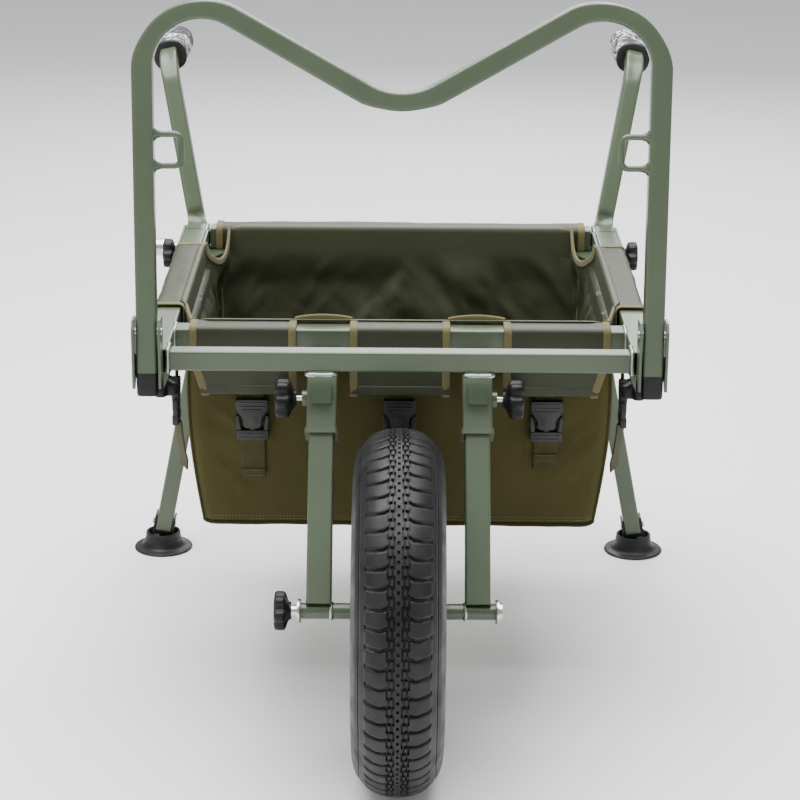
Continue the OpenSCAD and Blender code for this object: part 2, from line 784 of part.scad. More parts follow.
module pull_pin() {
    out = rail_x + rail_w / 2 + gap + plate_t;
    color(steel) seat() side(-1) translate([0, pull_pin_y, rail_z]) {
        rod_x(6, out - plate_t, out + pull_pin_neck + 3);
        rod_x(20.5, out + pull_pin_neck + gap, out + pull_pin_neck + 16);
    }
}

// ---- Legs and feet -------------------------------------------------------

module leg(s) {
    color(paint) seat() side(s) on_leg() difference() {
        translate([0, 0, -9]) tube_z(bar_w, leg_len + 9);
        rod_x(6.12, -bar_w, bar_w);
    }
}

// Black clevis round the leg's end, on a post that stands in the disc
module foot_clevis(s) {
    in = bar_w / 2 + gap;
    color(black) seat() side(s) difference() {
        union() {
            on_leg() {
                for (x = [-in - 2.5, in]) translate([x, -10, -12]) cube([2.5, 20, 22]);
                translate([-in - 2.5, -10, -14]) cube([2 * in + 5, 20, 4]);
            }
            // Ball stud that the disc swivels on
            translate([feet_span / 2, feet_back, ball_z]) {
                sphere(d = ball_d, $fn = 48);
                cylinder(d = 9, h = 9, $fn = 48);
            }
        }
        on_leg() rod_x(6.12, -bar_w, bar_w);
        on_leg() translate([0, 0, -10]) linear_extrude(24) square(2 * in, center = true);
    }
}

// Rubber boot and disc, one moulding, flat on the ground
module foot_disc(s) {
    color(black) seat() side(s) translate([feet_span / 2, feet_back, 0]) difference() {
        rotate_extrude($fn = 72) polygon([[0, 0], [disc_d / 2, 0], [disc_d / 2, 2], [disc_d / 2 - 4, disc_z],
            [25, 5], [23.5, 8], [20.5, 19], [20, 22], [0, 22]]);
        translate([0, 0, ball_z + 1.5]) cylinder(d = 36, h = 20, $fn = 72);
        translate([0, 0, ball_z]) sphere(d = ball_d + 0.1, $fn = 72);
    }
}

module foot_pin(s) {
    color(steel) seat() side(s) on_leg() {
        rod_x(6, -bar_w / 2 - 4, bar_w / 2 + 4);
        rod_x(9, bar_w / 2 + 2.5 + 2 * gap, bar_w / 2 + 5);
    }
}

rail(-1);  // left_rail
rail(1);  // right_rail
front_crossbar();
front_bag_bar();
rear_bag_bar();
fork_receiver(-1);  // left_fork_receiver
fork_receiver(1);  // right_fork_receiver
front_bracket(-1);  // left_front_bracket
front_bracket(1);  // right_front_bracket
rear_gusset(-1);  // left_rear_gusset
rear_gusset(1);  // right_rear_gusset
leg_socket(-1);  // left_leg_socket
leg_socket(1);  // right_leg_socket
rail_plugs();
bag();
rail_wrap(-1);  // left_sleeve
rail_wrap(1);  // right_sleeve
front_sleeve();
rear_sleeve();
bag_straps();
front_buckles();
side_buckles();
front_bar();
tie_loops();
front_bar_plugs();
front_bar_pins();
fork_leg(-1);  // left_fork_leg
fork_leg(1);  // right_fork_leg
axle_tubes();
axle_bolt();
tyre();
rim();
hub();
wheel_bearings();
rim_bolts();
axle_knob();
fork_knob(-1);  // left_fork_knob
fork_knob(1);  // right_fork_knob
bracket_knob(-1);  // left_bracket_knob
bracket_knob(1);  // right_bracket_knob
handle(-1);  // left_handle
handle(1);  // right_handle
handle_plates(-1);  // left_handle_plates
handle_plates(1);  // right_handle_plates
grip(-1);  // left_grip
grip(1);  // right_grip
handle_knob(-1);  // left_handle_knob
handle_knob(1);  // right_handle_knob
pull_pin_sleeve();
pull_pin();
leg(-1);  // left_leg
leg(1);  // right_leg
leg_knob(-1);  // left_leg_knob
leg_knob(1);  // right_leg_knob
foot_clevis(-1);  // left_foot_clevis
foot_clevis(1);  // right_foot_clevis
foot_disc(-1);  // left_foot_disc
foot_disc(1);  // right_foot_disc
foot_pin(-1);  // left_foot_pin
foot_pin(1);  // right_foot_pin
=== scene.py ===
"""Looks of a one-wheeled carrying barrow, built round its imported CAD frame.

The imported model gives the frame, the fits and the moving bodies. This script adds the visible
pieces that the plain solids stand for: bent square tube, sewn cloth, webbing, buckles, moulded
knobs and the treaded tyre. Every length is in metres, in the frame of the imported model.
"""

import json
import logging
import math
from dataclasses import dataclass
from enum import Enum
from typing import Callable, Optional, Sequence

import bmesh
import bpy
from mathutils import Matrix, Vector, noise

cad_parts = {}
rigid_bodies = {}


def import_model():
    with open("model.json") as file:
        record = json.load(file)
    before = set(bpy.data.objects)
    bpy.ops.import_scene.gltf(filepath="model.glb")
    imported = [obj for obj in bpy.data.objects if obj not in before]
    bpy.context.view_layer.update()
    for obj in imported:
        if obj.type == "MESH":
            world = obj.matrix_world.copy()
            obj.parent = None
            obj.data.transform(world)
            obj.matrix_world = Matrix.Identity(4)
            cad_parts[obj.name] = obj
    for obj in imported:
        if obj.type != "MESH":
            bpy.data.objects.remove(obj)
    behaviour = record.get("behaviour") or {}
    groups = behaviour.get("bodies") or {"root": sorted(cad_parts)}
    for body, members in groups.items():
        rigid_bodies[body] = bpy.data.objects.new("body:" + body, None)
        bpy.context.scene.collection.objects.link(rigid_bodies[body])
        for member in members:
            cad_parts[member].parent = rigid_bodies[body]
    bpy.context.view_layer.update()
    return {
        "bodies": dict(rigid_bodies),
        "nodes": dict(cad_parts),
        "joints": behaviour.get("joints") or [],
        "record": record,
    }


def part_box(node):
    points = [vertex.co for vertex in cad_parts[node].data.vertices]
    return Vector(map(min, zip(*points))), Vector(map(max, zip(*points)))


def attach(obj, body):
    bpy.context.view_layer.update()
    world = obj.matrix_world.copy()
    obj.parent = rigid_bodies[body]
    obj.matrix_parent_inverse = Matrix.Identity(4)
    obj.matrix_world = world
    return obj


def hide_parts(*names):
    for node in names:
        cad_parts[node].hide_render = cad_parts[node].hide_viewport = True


LOG = logging.getLogger("barrow")
MM = 0.001
STITCH = 2.4 * MM
STITCH_GAP = 1.2 * MM

Ring = list[Vector]
Outline = list[tuple[float, float]]


class Side(Enum):
    """The two hands of the barrow, with the sign of their X."""

    LEFT = -1
    RIGHT = 1

    @property
    def word(self) -> str:
        """Name used in node and body names."""
        return self.name.lower()


class Slot(Enum):
    """Material slots of the record, by name."""

    PAINT = "olive_paint"
    PLASTIC = "black_plastic"
    RUBBER = "black_rubber"
    TYRE = "tyre_rubber"
    RIM = "black_paint"
    STEEL = "zinc_steel"
    CANVAS = "canvas"
    WEBBING = "webbing"
    FOAM = "grip_foam"


# ---- Finishes ------------------------------------------------------------


class Graph:
    """A material's node tree, with short calls to add and join its nodes."""

    def __init__(self, name: str, roughness: float, metallic: float = 0.0) -> None:
        """Start a material with one shader.

        Args:
            name: The material's name.
            roughness: Roughness set on the shader.
            metallic: Metallic value set on the shader.
        """
        self.material = bpy.data.materials.new(name)
        self.material.use_nodes = True
        self.tree = self.material.node_tree
        self.tree.nodes.clear()
        self.shader = self.add("ShaderNodeBsdfPrincipled")
        self.shader.inputs["Roughness"].default_value = roughness
        self.shader.inputs["Metallic"].default_value = metallic
        output = self.add("ShaderNodeOutputMaterial")
        self.join(self.shader.outputs[0], output.inputs["Surface"])
        self.place = self.add("ShaderNodeTexCoord").outputs["Object"]

    def add(self, kind: str) -> bpy.types.Node:
        """Add a node of a kind to the tree."""
        return self.tree.nodes.new(kind)

    def join(self, source: bpy.types.NodeSocket, target: bpy.types.NodeSocket) -> None:
        """Link an output socket to an input socket."""
        self.tree.links.new(source, target)

    def speckle(
        self,
        scale: float,
        detail: float = 3.0,
        stretch: Sequence[float] = (1, 1, 1),
        roughness: float = 0.55,
    ) -> bpy.types.NodeSocket:
        """Noise in the object's own space.

        Args:
            scale: Features per metre, roughly.
            detail: Octaves of the noise.
            stretch: Scale along each axis.
            roughness: Strength of the fine octaves.

        Returns:
            The noise's factor socket.
        """
        mapping = self.add("ShaderNodeMapping")
        mapping.inputs["Scale"].default_value = stretch
        texture = self.add("ShaderNodeTexNoise")
        texture.inputs["Scale"].default_value = scale
        texture.inputs["Detail"].default_value = detail
        texture.inputs["Roughness"].default_value = roughness
        self.join(self.place, mapping.inputs["Vector"])
        self.join(mapping.outputs[0], texture.inputs["Vector"])
        return texture.outputs["Fac"]

    def ramp(
        self,
        value: bpy.types.NodeSocket,
        stops: Sequence[tuple[float, Sequence[float]]],
        sharp: bool = False,
    ) -> bpy.types.NodeSocket:
        """Colours spread over a value.

        Args:
            value: The value from 0 to 1 that picks the colour.
            stops: Places on the ramp and their colours.
            sharp: Step from one colour to the next instead of blending.

        Returns:
            The colour socket.
        """
        node = self.add("ShaderNodeValToRGB")
        node.color_ramp.interpolation = "CONSTANT" if sharp else "LINEAR"
        while len(node.color_ramp.elements) < len(stops):
            node.color_ramp.elements.new(0.5)
        for element, (at, colour) in zip(node.color_ramp.elements, stops):
            element.position = at
            element.color = (*colour[:3], 1.0)
        self.join(value, node.inputs["Fac"])
        return node.outputs["Color"]

    def mix(
        self,
        fac: bpy.types.NodeSocket,
        first: bpy.types.NodeSocket,
        second: bpy.types.NodeSocket,
    ) -> bpy.types.NodeSocket:
        """Blend two colours.

        Args:
            fac: The share of the second colour, as a socket.
            first: The first colour.
            second: The second colour.

        Returns:
            The colour socket.
        """
        node = self.add("ShaderNodeMix")
        node.data_type = "RGBA"
        self.join(fac, node.inputs[0])
        self.join(first, node.inputs[6])
        self.join(second, node.inputs[7])
        return node.outputs[2]

    def math(self, how: str, first: object, second: object = 0.0) -> bpy.types.NodeSocket:
        """One arithmetic step.

        Args:
            how: The operation's name.
            first: A socket or a number.
            second: A socket or a number.

        Returns:
            The result's socket.
        """
        node = self.add("ShaderNodeMath")
        node.operation = how
        for socket, value in zip(node.inputs, (first, second)):
            if isinstance(value, (int, float)):
                socket.default_value = value
            else:
                self.join(value, socket)
        return node.outputs[0]

    def weave(self, pitch: float) -> bpy.types.NodeSocket:
        """Plain weave over walls that stand along X or Y, and over flat cloth.

        Args:
            pitch: Distance from thread to thread.

        Returns:
            A height socket from -1 to 1.
        """
        apart = self.add("ShaderNodeSeparateXYZ")
        self.join(self.place, apart.inputs[0])
        turns = 2 * math.pi / pitch
        across = self.math("ADD", apart.outputs[0], apart.outputs[1])
        up = self.math("ADD", apart.outputs[2], self.math("MULTIPLY", apart.outputs[1], 0.35))
        warp = self.math("SINE", self.math("MULTIPLY", across, turns))
        weft = self.math("SINE", self.math("MULTIPLY", up, turns))
        return self.math("MULTIPLY", warp, weft)

    def bump(
        self, height: bpy.types.NodeSocket, strength: float, distance: float
    ) -> None:
        """Raise the surface by a height, on top of any bump added before.

        Args:
            height: The height socket.
            strength: The bump's strength.
            distance: The height of a value of 1, in metres.
        """
        node = self.add("ShaderNodeBump")
        node.inputs["Strength"].default_value = strength
        node.inputs["Distance"].default_value = distance
        self.join(height, node.inputs["Height"])
        before = self.shader.inputs["Normal"].links
        if before:
            self.join(before[0].from_socket, node.inputs["Normal"])
        self.join(node.outputs[0], self.shader.inputs["Normal"])

    def colour(self, socket: bpy.types.NodeSocket) -> None:
        """Use a colour socket as the base colour."""
        self.join(socket, self.shader.inputs["Base Color"])


def shade(colour: Sequence[float], by: float) -> tuple[float, float, float]:
    """A colour made lighter or darker by a factor."""
    return tuple(min(1.0, c * by) for c in colour[:3])


@dataclass(frozen=True)
class PowderCoat:
    """Semi-gloss baked paint with a fine orange peel."""

    name: str = "sage_powder_coat"
    colour: tuple[float, float, float] = (0.06, 0.084, 0.045)
    roughness: float = 0.36

    def make(self) -> bpy.types.Material:
        """Build the material.

        Returns:
            The material.
        """
        g = Graph(self.name, self.roughness)
        g.shader.inputs["Coat Weight"].default_value = 0.25
        g.shader.inputs["Coat Roughness"].default_value = 0.22
        stops = [(0.3, shade(self.colour, 0.92)), (0.7, shade(self.colour, 1.08))]
        g.colour(g.ramp(g.speckle(14, 4), stops))
        g.bump(g.speckle(700, 2), 0.25, 0.00025)
        g.bump(g.speckle(60, 2), 0.10, 0.0006)
        return g.material


@dataclass(frozen=True)
class MouldedPlastic:
    """Moulded nylon with a fine spark-eroded grain."""

    name: str = "black_nylon"
    colour: tuple[float, float, float] = (0.007, 0.007, 0.0075)
    roughness: float = 0.42
    grain: float = 0.2

    def make(self) -> bpy.types.Material:
        """Build the material.

        Returns:
            The material.
        """
        g = Graph(self.name, self.roughness)
        g.shader.inputs["Specular IOR Level"].default_value = 0.28
        stops = [(0.35, shade(self.colour, 0.8)), (0.65, shade(self.colour, 1.35))]
        g.colour(g.ramp(g.speckle(90, 4), stops))
        g.bump(g.speckle(1500, 2), self.grain, 0.0003)
        return g.material


@dataclass(frozen=True)
class Rubber:
    """Vulcanised rubber, slightly dusty."""

    name: str = "black_tyre_rubber"
    colour: tuple[float, float, float] = (0.008, 0.008, 0.009)
    dust: tuple[float, float, float] = (0.02, 0.02, 0.021)
    roughness: float = 0.42

    def make(self) -> bpy.types.Material:
        """Build the material.

        Returns:
            The material.
        """
        g = Graph(self.name, self.roughness)
        g.shader.inputs["Specular IOR Level"].default_value = 0.3
        g.colour(g.ramp(g.speckle(35, 6), [(0.42, self.colour), (0.85, self.dust)]))
        wear = g.ramp(g.speckle(50, 4), [(0.3, (0.36,) * 3), (0.7, (0.6,) * 3)])
        g.join(wear, g.shader.inputs["Roughness"])
        g.bump(g.speckle(900, 3), 0.22, 0.0003)
        return g.material


@dataclass(frozen=True)
class PlatedSteel:
    """Bright zinc plate, brushed along X."""

    name: str = "zinc_plate"
    colour: tuple[float, float, float] = (0.62, 0.63, 0.62)
    roughness: float = 0.28

    def make(self) -> bpy.types.Material:
        """Build the material.

        Returns:
            The material.
        """
        g = Graph(self.name, self.roughness, metallic=1.0)
        stops = [(0.3, shade(self.colour, 0.82)), (0.7, shade(self.colour, 1.12))]
        g.colour(g.ramp(g.speckle(160, 5), stops))
        g.bump(g.speckle(500, 3, stretch=(0.1, 1, 1)), 0.2, 0.0003)
        return g.material


@dataclass(frozen=True)
class Cloth:
    """Woven cloth with folds, slubs and a soft sheen."""

    name: str
    colour: tuple[float, float, float]
    roughness: float = 0.85
    pitch: float = 0.0016
    weave: float = 0.45
    sheen: float = 0.25
    coat: float = 0.0
    mottle: float = 0.16

    def make(self) -> bpy.types.Material:
        """Build the material.

        Returns:
            The material.
        """
        g = Graph(self.name, self.roughness)
        g.shader.inputs["Specular IOR Level"].default_value = 0.3
        g.shader.inputs["Sheen Weight"].default_value = self.sheen
        g.shader.inputs["Sheen Roughness"].default_value = 0.5
        g.shader.inputs["Coat Weight"].default_value = self.coat
        g.shader.inputs["Coat Roughness"].default_value = 0.35
        low, high = 1 - self.mottle, 1 + self.mottle
        stops = [(0.3, shade(self.colour, low)), (0.7, shade(self.colour, high))]
        broad = g.ramp(g.speckle(9, 5), stops)
        threads = g.math("MULTIPLY_ADD", g.weave(self.pitch), 0.5)
        threads.node.inputs[2].default_value = 0.5
        # Darker in the weave's hollows and lighter on the threads' crowns, following the weave's height:
        # painted shade and painted highlight.
        weave_shading = g.ramp(threads, [(0.0, shade(self.colour, 0.6)), (1.0, shade(self.colour, 1.3))])
        slub = g.ramp(g.speckle(400, 2, stretch=(1, 1, 0.15)), [(0.35, (0.25,) * 3), (0.65, (0.6,) * 3)])
        g.colour(g.mix(slub, broad, weave_shading))
        g.bump(threads, self.weave, 0.0005)
        g.bump(g.speckle(45, 4), 0.25, 0.0025)
        return g.material


@dataclass(frozen=True)
class Camouflage:
    """Printed foam skin in broken grey, black and white patches."""

    name: str = "grey_camouflage_foam"

    def make(self) -> bpy.types.Material:
        """Build the material.

        Returns:
            The material.
        """
        g = Graph(self.name, 0.8)
        big = g.speckle(42, 3, stretch=(1, 0.55, 1), roughness=0.6)
        stops = [
            (0.0, (0.02, 0.02, 0.025)),
            (0.44, (0.16, 0.165, 0.18)),
            (0.51, (0.62, 0.63, 0.66)),
            (0.56, (0.035, 0.035, 0.04)),
            (0.64, (0.28, 0.285, 0.3)),
        ]
        g.colour(g.ramp(big, stops, sharp=True))
        g.bump(g.speckle(800, 3), 0.4, 0.0005)
        return g.material


class Finishes:
    """One material of each finish, shared by the pieces that have it."""

    def __init__(self) -> None:
        """Build every finish once."""
        self.paint = PowderCoat().make()
        self.rim_paint = PowderCoat("black_enamel", (0.012, 0.012, 0.013), 0.3).make()
        self.plastic = MouldedPlastic().make()
        self.buckle = MouldedPlastic("grey_acetal", (0.026, 0.027, 0.025), 0.42).make()
        self.rubber = Rubber("black_foot_rubber", (0.008, 0.008, 0.008), (0.018, 0.018, 0.018)).make()
        self.tyre = Rubber().make()
        self.steel = PlatedSteel().make()
        self.weld = PlatedSteel("weld_metal", (0.42, 0.47, 0.4), 0.36).make()
        self.canvas = Cloth("khaki_canvas", (0.058, 0.051, 0.0125), 0.9, 0.0019, 0.5, 0.03).make()
        self.coated = Cloth(
            "coated_olive_cloth", (0.03, 0.034, 0.016), 0.52, 0.0013, 0.22, 0.02, 0.08, 0.1
        ).make()
        # The lining's copy of the coated cloth is painted lighter than the one above: painted light on the
        # inside walls, which get little light.
        self.lining = Cloth(
            "coated_olive_lining", (0.052, 0.058, 0.03), 0.5, 0.0013, 0.22, 0.02, 0.08, 0.12
        ).make()
        self.webbing = Cloth("khaki_webbing", (0.05, 0.045, 0.014), 0.88, 0.0026, 0.9, 0.05).make()
        self.binding = Cloth("khaki_binding", (0.15, 0.132, 0.055), 0.88, 0.0024, 0.9, 0.15).make()
        self.thread = Cloth("khaki_thread", (0.16, 0.14, 0.06), 0.9, 0.0008, 0.6, 0.3).make()
        self.foam = Camouflage().make()


# ---- Mesh work -----------------------------------------------------------


def rounded_outline(w: float, h: float, r: float, steps: int = 4, flats: int = 1) -> Outline:
    """A rectangle with round corners, centred, counter-clockwise.

    Args:
        w: Width.
        h: Height.
        r: Corner radius.
        steps: Segments in each corner.
        flats: Segments in each flat side.

    Returns:
        The outline's points.
    """
    corners = []
    for i, (sx, sy) in enumerate(((1, 1), (-1, 1), (-1, -1), (1, -1))):
        arc = []
        for k in range(steps + 1):
            a = math.radians(90 * i + 90 * k / steps)
            arc.append((sx * (w / 2 - r) + r * math.cos(a), sy * (h / 2 - r) + r * math.sin(a)))
        corners.append(arc)
    points: Outline = []
    for i, arc in enumerate(corners):
        points += arc
        after = corners[(i + 1) % 4][0]
        for k in range(1, flats):
            t = k / flats
            points.append(
                (arc[-1][0] * (1 - t) + after[0] * t, arc[-1][1] * (1 - t) + after[1] * t)
            )
    return points


def loft(
    rings: Sequence[Ring], caps: bool = True, closed: bool = False, ring_closed: bool = True
) -> bmesh.types.BMesh:
    """Skin a row of rings of equal length.

    Args:
        rings: The rings, in order.
        caps: Close the first and last ring with a face.
        closed: Join the last ring to the first.
        ring_closed: Join each ring's last point to its first.

    Returns:
        A new bmesh.
    """
    bm = bmesh.new()
    rows = [[bm.verts.new(p) for p in ring] for ring in rings]
    count = len(rows[0])
    pairs = list(zip(rows, rows[1:])) + ([(rows[-1], rows[0])] if closed else [])
    span = count if ring_closed else count - 1
    for first, second in pairs:
        for i in range(span):
            j = (i + 1) % count
            bm.faces.new((first[i], first[j], second[j], second[i]))
    if caps and not closed and ring_closed:
        bm.faces.new(list(reversed(rows[0])))
        bm.faces.new(rows[-1])
    bmesh.ops.recalc_face_normals(bm, faces=bm.faces)
    return bm


def sweep(
    path: Sequence[Vector],
    wide: Sequence[Vector],
    outline: Callable[[int], Outline],
    closed: bool = False,
) -> bmesh.types.BMesh:
    """Carry an outline along a path.

    Args:
        path: Points that the middle of the outline follows.
        wide: For each point, the direction of the outline's first coordinate.
        outline: Gives the outline at each point's index.
        closed: Join the end to the start, where else both ends get a cap.

    Returns:
        A new bmesh.
    """
    rings = []
    count = len(path)
    for i, at in enumerate(path):
        before = path[(i - 1) % count] if closed or i else at
        after = path[(i + 1) % count] if closed or i < count - 1 else at
        along = (after - before).normalized()
        u = (wide[i] - along * wide[i].dot(along)).normalized()
        v = along.cross(u)
        rings.append([at + u * a + v * b for a, b in outline(i)])
    return loft(rings, closed=closed)


def lathe(profile: Outline, seat: Matrix, steps: int = 64) -> bmesh.types.BMesh:
    """Turn a profile of radius and height about the Z axis of a seat.

    Args:
        profile: Radius and height of each point, from one pole to the other.
        seat: The frame that the turned shape stands in.
        steps: Segments round the axis.

    Returns:
        A new bmesh.
    """
    rings = []
    for r, h in profile:
        angles = [2 * math.pi * k / steps for k in range(steps)]
        rings.append([seat @ Vector((r * math.cos(a), r * math.sin(a), h)) for a in angles])
    return loft(rings)


def slab(outline: Outline, thick: float, seat: Matrix, bevel: float = 0.0006) -> bmesh.types.BMesh:
    """A plate of an outline with bevelled rims, its middle in the seat's XY plane.

    Args:
        outline: The plate's outline.
        thick: Its thickness.
        seat: The frame that it lies in.
        bevel: Width of the bevel.

    Returns:
        A new bmesh.
    """
    bm = bmesh.new()
    face = bm.faces.new([bm.verts.new((x, y, -thick / 2)) for x, y in outline])
    grown = bmesh.ops.extrude_face_region(bm, geom=[face])
    top = [v for v in grown["geom"] if isinstance(v, bmesh.types.BMVert)]
    bmesh.ops.translate(bm, verts=top, vec=(0, 0, thick))
    bmesh.ops.recalc_face_normals(bm, faces=bm.faces)
    rims = [e for e in bm.edges if abs(e.verts[0].co.z - e.verts[1].co.z) < 1e-7]
    bmesh.ops.bevel(bm, geom=rims, offset=bevel, segments=2, affect="EDGES", profile=0.6)
    bmesh.ops.transform(bm, matrix=seat, verts=bm.verts)
    return bm


def joined(parts: Sequence[bmesh.types.BMesh]) -> bmesh.types.BMesh:
    """Put several bmeshes into one, and free them.

    Args:
        parts: The bmeshes, which are used up.

    Returns:
        A new bmesh that holds them all.
    """
    whole = bmesh.new()
    for part in parts:
        scratch = bpy.data.meshes.new("scratch")
        part.to_mesh(scratch)
        part.free()
        whole.from_mesh(scratch)
        bpy.data.meshes.remove(scratch)
    return whole


def seat_along(at: Vector, up: Vector, across: Optional[Vector] = None) -> Matrix:
    """A frame at a point whose Z runs along a direction.

    Args:
        at: The frame's origin.
        up: The direction of its Z.
        across: A direction near its X.

    Returns:
        The frame's matrix.
    """
    z = up.normalized()
    guess = across or (Vector((1, 0, 0)) if abs(z.x) < 0.9 else Vector((0, 0, 1)))
    x = (guess - z * guess.dot(z)).normalized()
    y = z.cross(x)
    rows = Matrix((x, y, z)).transposed().to_4x4()
    rows.translation = at
    return rows


def fillet(points: Sequence[Vector], radius: float, steps: int = 8) -> list[Vector]:
    """Round the inner corners of a path.

    Args:
        points: The path's corners.
        radius: The bend radius.
        steps: Segments in each bend.

    Returns:
        The rounded path.
    """
    out = [points[0]]
    for a, b, c in zip(points, points[1:], points[2:]):
        into, away = (b - a).normalized(), (c - b).normalized()
        turn = into.angle(away)
        cut = min(radius * math.tan(turn / 2), (b - a).length * 0.49, (c - b).length * 0.49)
        start, end = b - into * cut, b + away * cut
        for k in range(steps + 1):
            t = k / steps
            out.append(start * (1 - t) ** 2 + b * (2 * t * (1 - t)) + end * t**2)
    out.append(points[-1])
    return out


def smoothstep(t: float) -> float:
    """Ease from 0 to 1."""
    t = max(0.0, min(1.0, t))
    return t * t * (3 - 2 * t)


def wrinkle(p: Vector, size: float, depth: float) -> float:
    """Height of a smooth random fold at a point.

    Args:
        p: The point.
        size: Length of a fold.
        depth: Its greatest height.

    Returns:
        The height.
    """
    return depth * noise.fractal(p / size, 0.6, 2.0, 3)


@dataclass
class Shop:
    """What every sub-assembly needs: the finishes and the frame's datum."""

    finish: Finishes
    zero: Vector

    def place(self, x: float, behind: float, z: float) -> Vector:
        """A point, in metres, from its X, distance behind the front crossbar and height in millimetres."""
        return Vector((x * MM, self.zero.y + behind * MM, z * MM))

    def piece(
        self,
        name: str,
        bm: bmesh.types.BMesh,
        finish: bpy.types.Material,
        body: str,
        stands_for: Sequence[str] = (),
        crease: float = 32.0,
    ) -> bpy.types.Object:
        """Make an object of a bmesh, dress it and seat it on its body.

        Args:
            name: The piece's name.
            bm: Its mesh, freed here.
            finish: Its material.
            body: The moving body that it rides on.
            stands_for: CAD nodes that it replaces.
            crease: Angle in degrees from which an edge stays sharp.

        Returns:
            The new object.
        """
        for edge in bm.edges:
            sharp = len(edge.link_faces) == 2 and edge.calc_face_angle(0) > math.radians(crease)
            edge.smooth = not sharp
        for face in bm.faces:
            face.smooth = True
        mesh = bpy.data.meshes.new(name)
        bm.to_mesh(mesh)
        bm.free()
        mesh.materials.append(finish)
        obj = bpy.data.objects.new(name, mesh)
        bpy.context.scene.collection.objects.link(obj)
        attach(obj, body)
        if stands_for:
            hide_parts(*stands_for)
        LOG.info("%s: %d faces on %s", name, len(mesh.polygons), body)
        return obj


# ---- Front bar -----------------------------------------------------------


